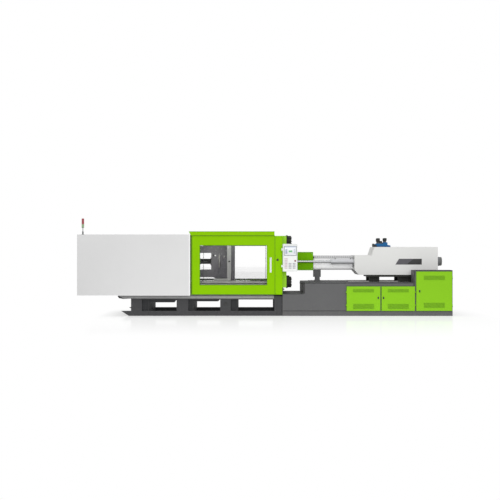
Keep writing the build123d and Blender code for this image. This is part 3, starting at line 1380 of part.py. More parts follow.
with BuildPart() as carriage_cylinders:
    for side in MIRROR:
        y = side * CYLINDER_Y
        ring_along((CARRIAGE_BARREL_FRONT, BLOCK_FRONT), y, AXIS_Z, CARRIAGE_BARREL_R, 52)
        ring_along(
            (CARRIAGE_BARREL_FRONT, CARRIAGE_BARREL_FRONT + 50),
            y,
            AXIS_Z,
            CARRIAGE_BARREL_R + 6,
            CARRIAGE_ROD_R + RUN,
        )
save(carriage_cylinders.part, "carriage_cylinders")

# Feed block: the casting that holds the barrel, the hopper throat and the shot cylinders

with BuildPart() as injection_block:
    with BuildSketch(Plane.YZ.offset(BLOCK_FRONT)):
        rect((-BLOCK_HALF_WIDTH, BLOCK_HALF_WIDTH), (1250, BLOCK_TOP_Z))
    extrude(amount=BARREL_REAR - BLOCK_FRONT)
    for y in both_sides(230, BLOCK_HALF_WIDTH):
        with BuildSketch(across(y[0])):
            with BuildLine():
                Polyline(
                    (2640, 1252),
                    (2834, CARRIAGE_TOP_Z),
                    (3050, CARRIAGE_TOP_Z),
                    (BARREL_REAR, 1252),
                    close=True,
                )
            make_face()
        extrude(amount=-(y[1] - y[0]))
    round_along((BLOCK_FRONT, BARREL_REAR), 0, AXIS_Z, BARREL_R, mode=Mode.SUBTRACT)
    upright(HOPPER_X, 0, HOPPER_R, (BLOCK_TOP_Z - THROAT_DEPTH, BLOCK_TOP_Z), mode=Mode.SUBTRACT)
    upright(HOPPER_X, 0, FEED_HOLE_R, (AXIS_Z + BARREL_R - 20, BLOCK_TOP_Z), mode=Mode.SUBTRACT)
    with BuildSketch(Plane.XY.offset(BLOCK_TOP_Z)):
        with Locations((HOPPER_X, 0)):
            with GridLocations(HOPPER_BOLT_PITCH, HOPPER_BOLT_PITCH, 2, 2):
                Circle(HOPPER_BOLT_R)
    extrude(amount=-30, mode=Mode.SUBTRACT)
    for side in MIRROR:
        y = side * SHOT_CYLINDER_Y
        ring_along((BARREL_REAR, SHOT_CYLINDER_END), y, AXIS_Z, SHOT_BARREL_R, SHOT_BORE_R)
        ring_along(
            (SHOT_CYLINDER_END - 50, SHOT_CYLINDER_END),
            y,
            AXIS_Z,
            SHOT_BARREL_R + 12,
            SHOT_ROD_R + RUN,
        )
save(injection_block.part, "injection_block")

# Barrel with its head, nozzle and heater bands, and the screw inside it

with BuildPart() as barrel:
    with BuildSketch(Plane.XZ):
        with BuildLine():
            Polyline(
                (NOZZLE_TIP_X, AXIS_Z + 5),
                (NOZZLE_TIP_X + 12, AXIS_Z + NOZZLE_R - 8),
                (NOZZLE_TIP_X + 50, AXIS_Z + NOZZLE_R),
                (640, AXIS_Z + NOZZLE_R),
                (660, AXIS_Z + 84),
                (BARREL_FRONT, AXIS_Z + 84),
                (BARREL_FRONT, AXIS_Z + BARREL_R),
                (BARREL_REAR, AXIS_Z + BARREL_R),
                (BARREL_REAR, AXIS_Z + BARREL_BORE_R),
                (700, AXIS_Z + BARREL_BORE_R),
                (650, AXIS_Z + 6),
                (NOZZLE_TIP_X, AXIS_Z + 5),
            )
        make_face()
    revolve(axis=Axis((0, 0, AXIS_Z), (1, 0, 0)))
    for band in range(9):
        band_x = BARREL_FRONT + 60 + 185 * band
        ring_along((band_x, band_x + 130), 0, AXIS_Z, BAND_R, BARREL_R + WELD_GAP)
    upright(HOPPER_X, 0, FEED_HOLE_R, (AXIS_Z, AXIS_Z + BARREL_R + 5), mode=Mode.SUBTRACT)
save(barrel.part, "barrel")

with BuildPart() as screw:
    with BuildSketch(Plane.XZ):
        with BuildLine():
            Polyline(
                (715, AXIS_Z),
                (760, AXIS_Z + 26),
                (820, AXIS_Z + 26),
                (820, AXIS_Z + SCREW_R),
                (2850, AXIS_Z + SCREW_R),
                (2850, AXIS_Z + SCREW_SHAFT_R),
                (DRIVE_PLATE_X + 60, AXIS_Z + SCREW_SHAFT_R),
                (DRIVE_PLATE_X + 60, AXIS_Z),
                close=True,
            )
        make_face()
    revolve(axis=Axis((0, 0, AXIS_Z), (1, 0, 0)))
save(screw.part, "screw")

# Drive: the plate that pushes the screw, its shot rods and the screw motor

with BuildPart() as injection_drive:
    with BuildSketch(Plane.YZ.offset(DRIVE_PLATE_X)):
        rect((-BLOCK_HALF_WIDTH, BLOCK_HALF_WIDTH), (1300, 1650))
        for y in both_sides(250, BLOCK_HALF_WIDTH):
            rect(y, (CARRIAGE_TOP_Z + GAP, 1301))
    extrude(amount=DRIVE_PLATE)
    round_along(
        (DRIVE_PLATE_X, DRIVE_PLATE_X + 60 + GAP), 0, AXIS_Z, SCREW_SHAFT_R + RUN, mode=Mode.SUBTRACT
    )
    plate_rear = DRIVE_PLATE_X + DRIVE_PLATE
    round_along((plate_rear, MOTOR_START_X), 0, AXIS_Z, 150)
    round_along((MOTOR_START_X, MOTOR_END_X - 60), 0, AXIS_Z, MOTOR_R)
    round_along((MOTOR_END_X - 60, MOTOR_END_X), 0, AXIS_Z, MOTOR_R - 8)
    for side in MIRROR:
        y = side * SHOT_CYLINDER_Y
        round_along((3010, DRIVE_PLATE_X), y, AXIS_Z, SHOT_ROD_R)
        round_along((3010, 3070), y, AXIS_Z, SHOT_BORE_R - RUN)
save(injection_drive.part, "injection_drive")

# Covers of the injection unit

with BuildPart() as barrel_guard:
    guard_middle = (BARREL_GUARD_BOTTOM_Z + BARREL_GUARD_TOP_Z) / 2
    guard_height = BARREL_GUARD_TOP_Z - BARREL_GUARD_BOTTOM_Z
    with BuildSketch(Plane.YZ.offset(BARREL_GUARD_FRONT)):
        with Locations((0, guard_middle)):
            RectangleRounded(2 * BARREL_GUARD_HALF_WIDTH, guard_height, 70)
            RectangleRounded(
                2 * (BARREL_GUARD_HALF_WIDTH - SHEET),
                guard_height - 2 * SHEET,
                70 - SHEET,
                mode=Mode.SUBTRACT,
            )
    extrude(amount=COVER_FRONT - BARREL_GUARD_FRONT)
save(barrel_guard.part, "barrel_guard")

COVER_SHEET = 4
COVER_LIP_Z = 1242
COVER_STEP_X = (2946, 3024)
COVER_CHIN_X = COVER_FRONT + 116
cover_inside = COVER_HALF_WIDTH - COVER_SHEET - WELD_GAP
with BuildPart() as injection_housing:
    for side in MIRROR:
        with BuildSketch(across(side * COVER_HALF_WIDTH)):
            with BuildLine():
                Polyline(
                    (COVER_FRONT, COVER_LIP_Z),
                    (COVER_CHIN_X, CARRIAGE_TOP_Z),
                    (COVER_RIGHT, CARRIAGE_TOP_Z),
                    (COVER_RIGHT, COVER_TOP_Z),
                    (COVER_STEP_X[1], COVER_TOP_Z),
                    (COVER_STEP_X[0], COVER_NOSE_TOP_Z),
                    (COVER_FRONT, COVER_NOSE_TOP_Z),
                    close=True,
                )
            make_face()
            with BuildLine():
                Polyline((3599, 1391), (3699, 1552), (4330, 1552), (4330, 1391), close=True)
            make_face(mode=Mode.SUBTRACT)
        extrude(amount=side * COVER_SHEET)
    front_sheet = (COVER_FRONT, COVER_FRONT + COVER_SHEET)
    bar(front_sheet, (-cover_inside, cover_inside), (COVER_LIP_Z, COVER_NOSE_TOP_Z))
    round_along(front_sheet, 0, AXIS_Z, BAND_R + 10, mode=Mode.SUBTRACT)
    for side in MIRROR:
        hole_r = CARRIAGE_BARREL_R + WELD_GAP
        round_along(front_sheet, side * CYLINDER_Y, AXIS_Z, hole_r, mode=Mode.SUBTRACT)
    nose_x = (front_sheet[1] + WELD_GAP, COVER_STEP_X[0])
    nose_z = (COVER_NOSE_TOP_Z - COVER_SHEET, COVER_NOSE_TOP_Z)
    bar(nose_x, (-cover_inside, cover_inside), nose_z)
    with BuildSketch(Plane.XY.offset(COVER_NOSE_TOP_Z)):
        with Locations((HOPPER_X, 0)):
            RectangleRounded(270, 270, 20)
    extrude(amount=-COVER_SHEET, mode=Mode.SUBTRACT)
    roof_z = COVER_TOP_Z - COVER_SHEET
    bar((COVER_STEP_X[1], COVER_RIGHT), (-cover_inside, cover_inside), (roof_z, COVER_TOP_Z))
    end_sheet = (COVER_RIGHT - COVER_SHEET, COVER_RIGHT)
    bar(end_sheet, (-cover_inside, cover_inside), (CARRIAGE_TOP_Z, roof_z - WELD_GAP))
    round_along(end_sheet, 0, AXIS_Z, MOTOR_R + 6, mode=Mode.SUBTRACT)
    for low, high in (
        ((front_sheet[1] + WELD_GAP, COVER_LIP_Z), (COVER_CHIN_X + 4, CARRIAGE_TOP_Z)),
        ((COVER_STEP_X[0] + WELD_GAP, nose_z[0]), (COVER_STEP_X[1], roof_z - WELD_GAP)),
    ):
        with BuildSketch(across(-cover_inside)):
            with BuildLine():
                Polyline(low, high, (high[0] + 5, high[1]), (low[0] + 5, low[1]), close=True)
            make_face()
        extrude(amount=-2 * cover_inside)
save(injection_housing.part, "injection_housing")

# Valve manifold on top of the injection housing, with its solenoid valves

with BuildPart() as manifold:
    with BuildSketch(across(-150)):
        with BuildLine():
            Polyline(
                (3068, COVER_TOP_Z),
                (3511, COVER_TOP_Z),
                (3511, COVER_TOP_Z + 44),
                (3430, COVER_TOP_Z + 62),
                (3430, COVER_TOP_Z + 130),
                (3310, COVER_TOP_Z + 130),
                (3310, COVER_TOP_Z + 96),
                (3120, COVER_TOP_Z + 96),
                (3068, COVER_TOP_Z + 60),
                close=True,
            )
        make_face()
    extrude(amount=-300)
save(manifold.part, "manifold")

with BuildPart() as valves:
    for valve_x, base_z, top_z in ((3180, 1974, 2128), (3250, 1974, 2050), (3370, 2008, 2131)):
        upright(valve_x, -80, 30, (base_z, top_z))
        upright(valve_x, 80, 30, (base_z, top_z))
    with BuildSketch(across(-120)):
        with Locations((3040, 1930)):
            RectangleRounded(56, 90, 20)
    extrude(amount=-100)
save(valves.part, "valves")
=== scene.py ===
"""Looks of the injection moulding machine, built round its fixed model."""

import math
from itertools import product

import bmesh
import bpy
from mathutils import Matrix, Vector


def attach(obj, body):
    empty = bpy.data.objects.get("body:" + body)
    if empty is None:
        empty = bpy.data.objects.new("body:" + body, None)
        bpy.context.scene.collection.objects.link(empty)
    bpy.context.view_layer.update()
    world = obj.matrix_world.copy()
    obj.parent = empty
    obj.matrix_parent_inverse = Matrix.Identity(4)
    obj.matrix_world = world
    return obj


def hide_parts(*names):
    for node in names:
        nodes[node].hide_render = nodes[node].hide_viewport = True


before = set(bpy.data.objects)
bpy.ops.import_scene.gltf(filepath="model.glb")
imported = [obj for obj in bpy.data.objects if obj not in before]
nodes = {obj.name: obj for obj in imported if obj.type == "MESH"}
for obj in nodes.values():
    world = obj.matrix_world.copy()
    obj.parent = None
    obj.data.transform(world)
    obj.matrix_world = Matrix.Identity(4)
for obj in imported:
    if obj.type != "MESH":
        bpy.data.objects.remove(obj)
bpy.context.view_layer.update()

# The operator stands on the side of negative Y
SIDES = ((-1, "front"), (1, "rear"))
TO_OPERATOR = (0, -1, 0)
TO_LEFT = (-1, 0, 0)
TO_RIGHT = (1, 0, 0)
UP = (0, 0, 1)
DOWN = (0, 0, -1)

# Camera and light
FRAME_PIXELS = 500
PIXEL_SIZE = 0.027
CAMERA_X = -0.424
CAMERA_HEIGHT = 1.795
CAMERA_DISTANCE = 25.0
FRONT_Y = -1.1
WHITE = (1, 1, 1, 1)
AROUND_GLOW = 0.5
FLOOR_HALF_SIZE = 60.0
FLOOR_GLOW = 0.46
FLOOR_LIGHT = 0.26
BACKDROP_GLOW = 0.5

# Machine axis, tie bars and hopper
AXIS_HEIGHT = 1.475
TIE_BAR_PLACES = [(sy * 0.56, AXIS_HEIGHT + sz * 0.56) for sy in (-1, 1) for sz in (-1, 1)]
HOPPER_X = 2.75

# Distances from the middle plane at which details start on both sides of the machine
CANOPY_FACE = 1.0102
DOOR_FACE = 1.0002
BED_FACE = 0.9002
STEP_FACE = 0.8502
WAY_FACE = 0.8002
PLATEN_FACE = 0.7002
COVER_FACE = 0.4802
WEB_FACE = 0.4362
LEG_FACE = 0.3902
PURGE_FACE = 0.2302
BARREL_GUARD_FACE = 0.2002
MANIFOLD_FACE = 0.1502

# Places in Y of faces on the operator's side only, and the height of the deck
PANEL_FACE = -1.096
CABINET_DOOR_FACE = -0.93
SWITCH_FACE = -0.642
TANK_FACE = -0.5002
DECK_TOP = 0.9082

# The doors slide behind the housing's end, which leaves 3 mm free in front of them
DOOR_RELIEF = 0.002

# Louvre hoods: half length, reach, height below and above the slot, squeeze of the mouth, pitch
DOOR_HOOD = (0.286, 0.009, 0.0065, 0.0095, 0.45, 0.024)
REAR_HOOD = (0.263, 0.01, 0.006, 0.012, 0.4, 0.034)


def linear(level):
    """Light level of one colour channel written from 0 to 255."""
    share = level / 255
    if share <= 0.04045:
        return share / 12.92
    return ((share + 0.055) / 1.055) ** 2.4


def colour(red, green, blue):
    """Colour for a shader socket from channels written from 0 to 255."""
    return (linear(red), linear(green), linear(blue), 1.0)


# Shader nodes


def connect(tree, node, values):
    """Gives each input of a node a plain value or a link from a socket."""
    for name, value in values.items():
        if isinstance(value, bpy.types.NodeSocket):
            tree.links.new(value, node.inputs[name])
        else:
            node.inputs[name].default_value = value


def add_node(tree, kind, values=None, **settings):
    """New shader node of a kind with its settings and inputs."""
    node = tree.nodes.new("ShaderNode" + kind)
    for name, setting in settings.items():
        setattr(node, name, setting)
    connect(tree, node, values or {})
    return node


def calculate(tree, operation, first, second=0.0):
    """One arithmetic step between sockets or plain numbers."""
    return add_node(tree, "Math", {0: first, 1: second}, operation=operation).outputs[0]


def remap(tree, value, low, high, to_low, to_high):
    """The value from low to high, spread from to_low to to_high and clamped."""
    spread = {"Value": value, "From Min": low, "From Max": high, "To Min": to_low, "To Max": to_high}
    return add_node(tree, "MapRange", spread).outputs["Result"]


def blend_colours(tree, share, first, second):
    """Colour mix of two sockets or plain colours by a share."""
    return add_node(tree, "Mix", {"Factor": share, 6: first, 7: second}, data_type="RGBA").outputs[2]


def scaled(tree, paint, share):
    """A colour made brighter or darker by a share."""
    return add_node(tree, "VectorMath", {0: paint, "Scale": share}, operation="SCALE").outputs[0]


def own_place(tree):
    """Place on the piece in its own coordinates."""
    return add_node(tree, "TexCoord").outputs["Object"]


def own_axes(tree):
    """X, Y and Z on the piece in its own coordinates."""
    return add_node(tree, "SeparateXYZ", {"Vector": own_place(tree)}).outputs


def noise(tree, scale, detail=3.0, rough=0.55, stretch=None):
    """Noise on the piece's own coordinates, stretched along an axis if asked."""
    place = own_place(tree)
    if stretch:
        place = add_node(tree, "Mapping", {"Vector": place, "Scale": stretch}).outputs["Vector"]
    values = {"Vector": place, "Scale": scale, "Detail": detail, "Roughness": rough}
    return add_node(tree, "TexNoise", values).outputs["Fac"]


def axis_band(tree, axis, low, high):
    """Mask that is one between two places along an axis of the piece's own coordinates."""
    along = own_axes(tree)[axis]
    above = calculate(tree, "GREATER_THAN", along, low)
    return calculate(tree, "MULTIPLY", above, calculate(tree, "LESS_THAN", along, high))


# Camera, lamps, floor and backdrop


def add_camera():
    """Long lens square to the operator's side, at the photograph's height."""
    long_lens = bpy.data.cameras.new("camera")
    long_lens.sensor_width = 36.0
    long_lens.lens = long_lens.sensor_width * CAMERA_DISTANCE / (FRAME_PIXELS * PIXEL_SIZE)
    long_lens.clip_end = 200.0
    camera = bpy.data.objects.new("camera", long_lens)
    camera.location = (CAMERA_X, FRONT_Y - CAMERA_DISTANCE, CAMERA_HEIGHT)
    camera.rotation_euler = (math.radians(90), 0, 0)
    bpy.context.scene.collection.objects.link(camera)
    bpy.context.scene.camera = camera


def add_area_lamp(name, place, target, size, power):
    """Soft box that faces its target."""
    lamp = bpy.data.lights.new(name, "AREA")
    lamp.shape = "RECTANGLE"
    lamp.size, lamp.size_y = size
    lamp.energy = power
    lamp_object = bpy.data.objects.new(name, lamp)
    lamp_object.location = place
    direction = Vector(target) - Vector(place)
    lamp_object.rotation_euler = direction.to_track_quat("-Z", "Y").to_euler()
    bpy.context.scene.collection.objects.link(lamp_object)


def add_world():
    """Even pale surroundings that the camera sees as white."""
    world = bpy.data.worlds.new("studio")
    bpy.context.scene.world = world
    world.use_nodes = True
    tree = world.node_tree
    tree.nodes.clear()
    ray = add_node(tree, "LightPath").outputs
    looked_at = calculate(tree, "MAXIMUM", ray["Is Camera Ray"], ray["Is Transmission Ray"])
    light = add_node(tree, "Background", {"Color": WHITE, "Strength": AROUND_GLOW})
    seen = add_node(tree, "Background", {"Color": WHITE, "Strength": 1.0})
    mix = add_node(tree, "MixShader", {0: looked_at, 1: light.outputs[0], 2: seen.outputs[0]})
    add_node(tree, "OutputWorld", {"Surface": mix.outputs[0]})


def glow_for_camera(tree, seen, unseen):
    """Glow of one strength for the camera and another for every other ray."""
    for_camera = add_node(tree, "LightPath").outputs["Is Camera Ray"]
    strength = remap(tree, for_camera, 0.0, 1.0, unseen, seen)
    return add_node(tree, "Emission", {"Strength": strength}).outputs[0]


def blank_material(name):
    """New material with an empty shader tree."""
    material = bpy.data.materials.new(name)
    material.use_nodes = True
    material.node_tree.nodes.clear()
    return material, material.node_tree


def add_floor():
    """White polished floor: it keeps the machine's shadow and a faint mirror of it, and fades out."""
    nothing_selected()
    bpy.ops.mesh.primitive_plane_add(size=2 * FLOOR_HALF_SIZE, location=(0, 0, 0))
    floor = bpy.context.object
    floor.name = "floor"
    material, tree = blank_material("pale_floor")
    axes = own_axes(tree)
    in_front = remap(tree, axes["Y"], -7.0, -2.5, 0.0, 1.0)
    behind = remap(tree, axes["Y"], 1.2, 2.2, 1.0, 0.0)
    left = remap(tree, axes["X"], -4.6, -3.9, 0.0, 1.0)
    right = remap(tree, axes["X"], 5.2, 6.2, 1.0, 0.0)
    along = calculate(tree, "MULTIPLY", left, right)
    share = calculate(tree, "MULTIPLY", calculate(tree, "MULTIPLY", in_front, behind), along)
    matt = add_node(tree, "BsdfDiffuse", {"Color": (0.4, 0.4, 0.4, 1)})
    mirror = add_node(tree, "BsdfGlossy", {"Color": (0.34, 0.34, 0.34, 1), "Roughness": 0.1})
    polished = add_node(tree, "AddShader", {0: matt.outputs[0], 1: mirror.outputs[0]})
    near_glow = glow_for_camera(tree, FLOOR_GLOW, FLOOR_LIGHT)
    near = add_node(tree, "AddShader", {0: polished.outputs[0], 1: near_glow})
    far_glow = glow_for_camera(tree, 1.0, BACKDROP_GLOW)
    fade = add_node(tree, "MixShader", {0: share, 1: far_glow, 2: near.outputs[0]})
    add_node(tree, "OutputMaterial", {"Surface": fade.outputs[0]})
    floor.data.materials.append(material)


# Shader groups that several finishes share

MID_GREY = (0.5, 0.5, 0.5, 1)
SURFACE = ("Colour", "Roughness", "Height")


def start_group(name, inputs, outputs):
    """Shader group with named inputs, which hold their start values, and named outputs."""
    group = bpy.data.node_groups.new(name, "ShaderNodeTree")
    for label, value in inputs.items():
        kind = "NodeSocketColor" if value == MID_GREY else "NodeSocketFloat"
        socket = group.interface.new_socket(label, in_out="INPUT", socket_type=kind)
        socket.default_value = value
    for label in outputs:
        kind = "NodeSocketColor" if label == "Colour" else "NodeSocketFloat"
        group.interface.new_socket(label, in_out="OUTPUT", socket_type=kind)
    given = group.nodes.new("NodeGroupInput").outputs
    return group, given, group.nodes.new("NodeGroupOutput")


def make_sprayed_film():
    """Sprayed enamel: orange peel, cloudy tone and shop dust that settles low down."""
    inputs = {"Paint": MID_GREY, "Sheen": 0.4, "Cloud": 0.05, "Dust": 0.2}
    group, given, made = start_group("sprayed_film", inputs, SURFACE)
    clouds = remap(group, noise(group, 0.9, 4.0, 0.6), 0.3, 0.7, -1.0, 1.0)
    tone = calculate(group, "MULTIPLY", clouds, given["Cloud"])
    toned = scaled(group, given["Paint"], calculate(group, "ADD", 1.0, tone))
    scuffs = noise(group, 14.0, 6.0, 0.7)
    low_down = remap(group, own_axes(group)["Z"], 0.35, 0.0, 0.0, 1.0)
    speckle = remap(group, scuffs, 0.45, 0.72, 0.0, 1.0)
    dust = calculate(group, "MULTIPLY", low_down, speckle)
    dust_share = calculate(group, "MULTIPLY", dust, given["Dust"])
    rough_change = remap(group, scuffs, 0.3, 0.7, -0.05, 0.06)
    surface = {
        "Colour": blend_colours(group, dust_share, toned, colour(150, 146, 138)),
        "Roughness": calculate(group, "ADD", given["Sheen"], rough_change),
        "Height": noise(group, 260.0, 2.0, 0.5),
    }
    connect(group, made, surface)
    return group


def make_worn_edge():
    """Mask that is bright where a corner of the metal has been rubbed."""
    group, given, made = start_group("worn_edge", {"Radius": 0.004, "Amount": 0.5}, ("Mask",))
    rounded = add_node(group, "Bevel", {"Radius": given["Radius"]}, samples=4).outputs["Normal"]
    flat = add_node(group, "NewGeometry").outputs["True Normal"]
    likeness = add_node(group, "VectorMath", {0: rounded, 1: flat}, operation="DOT_PRODUCT")
    edge = remap(group, likeness.outputs["Value"], 0.99, 0.8, 0.0, 1.0)
    broken = remap(group, noise(group, 30.0, 5.0, 0.7), 0.42, 0.62, 0.0, 1.0)
    worn = calculate(group, "MULTIPLY", edge, broken)
    connect(group, made, {"Mask": calculate(group, "MULTIPLY", worn, given["Amount"])})
    return group


def make_grinding_lines():
    """Fine lines of ground or brushed metal along the machine, with a cloudy sheen."""
    inputs = {"Metal": MID_GREY, "Sheen": 0.35, "Contrast": 0.1}
    group, given, made = start_group("grinding_lines", inputs, SURFACE)
    lines = noise(group, 40.0, 4.0, 0.6, (0.15, 12.0, 12.0))
    tone = remap(group, lines, 0.3, 0.7, -1.0, 1.0)
    change = calculate(group, "MULTIPLY", tone, given["Contrast"])
    rough_change = remap(group, noise(group, 5.0, 3.0, 0.6), 0.3, 0.7, -0.06, 0.1)
    surface = {
        "Colour": scaled(group, given["Metal"], calculate(group, "ADD", 1.0, change)),
        "Roughness": calculate(group, "ADD", given["Sheen"], rough_change),
        "Height": lines,
    }
    connect(group, made, surface)
    return group


def make_moulded_skin():
    """Fine spark-eroded texture of moulded plastic."""
    inputs = {"Plastic": MID_GREY, "Sheen": 0.5}
    group, given, made = start_group("moulded_skin", inputs, SURFACE)
    handling = noise(group, 9.0, 4.0, 0.6)
    rough_change = remap(group, handling, 0.3, 0.7, 0.05, -0.07)
    surface = {
        "Colour": scaled(group, given["Plastic"], remap(group, handling, 0.35, 0.75, 1.0, 0.95)),
        "Roughness": calculate(group, "ADD", given["Sheen"], rough_change),
        "Height": noise(group, 900.0, 2.0, 0.6),
    }
    connect(group, made, surface)
    return group


sprayed_film = make_sprayed_film()
worn_edge = make_worn_edge()
grinding_lines = make_grinding_lines()
moulded_skin = make_moulded_skin()


# Kinds of finish


def start_finish(name):
    """New material with its shader, output and a bump node."""
    material, tree = blank_material(name)
    bump = add_node(tree, "Bump")
    shader = add_node(tree, "BsdfPrincipled", {"Normal": bump.outputs["Normal"]})
    add_node(tree, "OutputMaterial", {"Surface": shader.outputs["BSDF"]})
    return material, tree, shader, bump


def place_group(tree, group, values):
    """Outputs of a shader group that is put into a material with its own values."""
    return add_node(tree, "Group", values, node_tree=group).outputs


def group_finish(name, group, values, strength, distance, extra):
    """Material whose colour, roughness and relief come from one shader group."""
    material, tree, shader, bump = start_finish(name)
    made = place_group(tree, group, values)
    connect(tree, bump, {"Strength": strength, "Distance": distance, "Height": made["Height"]})
    colours = {"Base Color": made["Colour"], "Roughness": made["Roughness"]}
    connect(tree, shader, colours | extra)
    return material


def repaint(material, mask_maker, paint):
    """Second paint on the part of a piece that a mask covers."""
    tree = material.node_tree
    shader = next(node for node in tree.nodes if node.type == "BSDF_PRINCIPLED")
    first = shader.inputs["Base Color"].links[0].from_socket
    connect(tree, shader, {"Base Color": blend_colours(tree, mask_maker(tree), first, paint)})


def repaint_band(material, axis, low, high, paint):
    """Second paint between two places along an axis."""
    repaint(material, lambda tree: axis_band(tree, axis, low, high), paint)


def enamel(name, paint, sheen=0.5, cloud=0.02, dust=0.0, wear=0.0, peel=0.12, shine=0.2):
    """Sprayed machine enamel, rubbed to bare metal on its edges if asked."""
    film = {"Paint": paint, "Sheen": sheen, "Cloud": cloud, "Dust": dust}
    gloss = {"Specular IOR Level": shine, "Coat Weight": shine / 5, "Coat Roughness": 0.3}
    material = group_finish(name, sprayed_film, film, peel, 0.0004, gloss)
    if wear:
        rubbed = {"Radius": 0.005, "Amount": wear}
        bare_steel = colour(150, 150, 150)
        repaint(material, lambda tree: place_group(tree, worn_edge, rubbed)["Mask"], bare_steel)
    return material


def bright_metal(name, metal, sheen=0.4, contrast=0.1, metallic=1.0, scratches=0.15):
    """Ground, brushed or chromed metal."""
    lines = {"Metal": metal, "Sheen": sheen, "Contrast": contrast}
    return group_finish(name, grinding_lines, lines, scratches, 0.0002, {"Metallic": metallic})


def plastic(name, resin, sheen=0.45, grain=0.2):
    """Moulded plastic with a fine texture."""
    return group_finish(name, moulded_skin, {"Plastic": resin, "Sheen": sheen}, grain, 0.0003, {})


def clear_sheet(name):
    """Clear polycarbonate of the door windows, lightly smeared."""
    material, tree, shader, bump = start_finish(name)
    smears = noise(tree, 6.0, 5.0, 0.6)
    clear = {"Base Color": WHITE, "Transmission Weight": 1.0, "IOR": 1.2, "Alpha": 0.12}
    connect(tree, shader, clear | {"Roughness": remap(tree, smears, 0.4, 0.7, 0.02, 0.08)})
    connect(tree, bump, {"Strength": 0.02, "Distance": 0.0002, "Height": smears})
    return material


def lens(name, tint):
    """Lamp lens of the signal tower: tinted plastic with fine upright ribs, whose shading is painted into
    the tint as light and dark bands.
    """
    material, tree, shader, bump = start_finish(name)
    bands = {"Vector": own_place(tree), "Scale": 60.0}
    ribs = add_node(tree, "TexWave", bands, bands_direction="X").outputs["Fac"]
    # Painted shade: the ribs are painted in lighter and darker bands that follow their relief.
    dark = tuple(0.6 * level for level in tint[:3]) + (1.0,)
    ribbed = blend_colours(tree, ribs, tint, dark)
    connect(tree, shader, {"Base Color": ribbed, "Roughness": 0.25, "Coat Weight": 0.5})
    connect(tree, bump, {"Strength": 0.4, "Distance": 0.001, "Height": ribs})
    return material


def perforated_sheet(name):
    """Zinc-plated guard sheet: bright below, with a punched grey band along its shoulder."""
    material, tree, shader, bump = start_finish(name)
    zinc = {"Metal": colour(254, 254, 255), "Sheen": 0.5, "Contrast": 0.03}
    sheet = place_group(tree, grinding_lines, zinc)
    axes = own_axes(tree)
    shoulder = calculate(tree, "GREATER_THAN", axes["Z"], 1.555)
    pitch = calculate(tree, "MULTIPLY", axes["X"], 1 / 0.052)
    slots = calculate(tree, "LESS_THAN", calculate(tree, "FRACT", pitch), 0.42)
    low_row = axis_band(tree, "Z", 1.585, 1.603)
    rows = calculate(tree, "MAXIMUM", low_row, axis_band(tree, "Z", 1.615, 1.628))
    holes = calculate(tree, "MULTIPLY", slots, rows)
    banded = blend_colours(tree, shoulder, sheet["Colour"], colour(196, 196, 197))
    holed = blend_colours(tree, holes, banded, colour(124, 124, 126))
    metal = {"Metallic": 0.1, "Specular IOR Level": 0.3, "Roughness": sheet["Roughness"]}
    connect(tree, shader, metal | {"Base Color": holed})
    sunk = calculate(tree, "MULTIPLY", holes, -1.0)
    connect(tree, bump, {"Strength": 0.3, "Distance": 0.001, "Height": sunk})
    return material


def screen_face(name):
    """Screen that shows plain fields: a pale ground, a header, grey columns and a green patch."""
    material, tree, shader, bump = start_finish(name)
    shown = colour(242, 245, 250)
    for x, z, paint in (
        ((0.49, 0.84), (1.86, 1.91), colour(200, 209, 226)),
        ((0.62, 0.72), (1.735, 1.785), colour(120, 196, 132)),
        ((0.53, 0.585), (1.69, 1.82), colour(178, 186, 204)),
        ((0.755, 0.80), (1.70, 1.83), colour(208, 214, 226)),
    ):
        field = calculate(tree, "MULTIPLY", axis_band(tree, "X", *x), axis_band(tree, "Z", *z))
        shown = blend_colours(tree, field, shown, paint)
    ripple = noise(tree, 30.0, 2.0)
    shaded = scaled(tree, shown, remap(tree, ripple, 0.3, 0.7, 0.97, 1.0))
    connect(tree, shader, {"Base Color": shaded, "Roughness": 0.2, "Coat Weight": 0.5})
    connect(tree, bump, {"Strength": 0.02, "Height": ripple})
    return material


# Finishes of this machine

white_paint = enamel("white_paint", colour(225, 225, 225), cloud=0.015)
highlighted_cover_white = enamel("cover_white_paint", colour(225, 225, 225), cloud=0.015)
# Painted highlights: a near-white band along the cover's bent edge beside the doors, and a lighter band
# along its foot, where the bends catch the light.
repaint_band(highlighted_cover_white, "X", -2.074, -2.0, colour(250, 250, 250))
repaint_band(highlighted_cover_white, "Z", 0.5, 0.576, colour(240, 240, 240))
warm_white = enamel("warm_white_paint", colour(230, 230, 228), cloud=0.015)
door_green = enamel("door_green", colour(140, 200, 0), shine=0.05)
cabinet_green = enamel("cabinet_green", colour(141, 203, 38), dust=0.05, shine=0.05)
hood_green = enamel("hood_green", colour(113, 180, 0), cloud=0.03, shine=0.05)
guard_green_with_painted_light = enamel("guard_green_with_painted_light", colour(141, 203, 0), shine=0.05)
# Painted light: faces set back behind the guards' front, such as the step, get a lighter green to make up
# for the shade of the recess.
repaint_band(guard_green_with_painted_light, "Y", -0.9, 0.9, colour(158, 212, 57))
# Dark green of the window seals, also used for the painted shade strips at the doors' left edges and
# under the canopy's skirt.
seal_and_shade_green = enamel("seal_and_shade_green", colour(92, 131, 14), 0.55, 0.04, 0.15)
line_green = enamel("line_green", colour(112, 165, 0), dust=0.15)
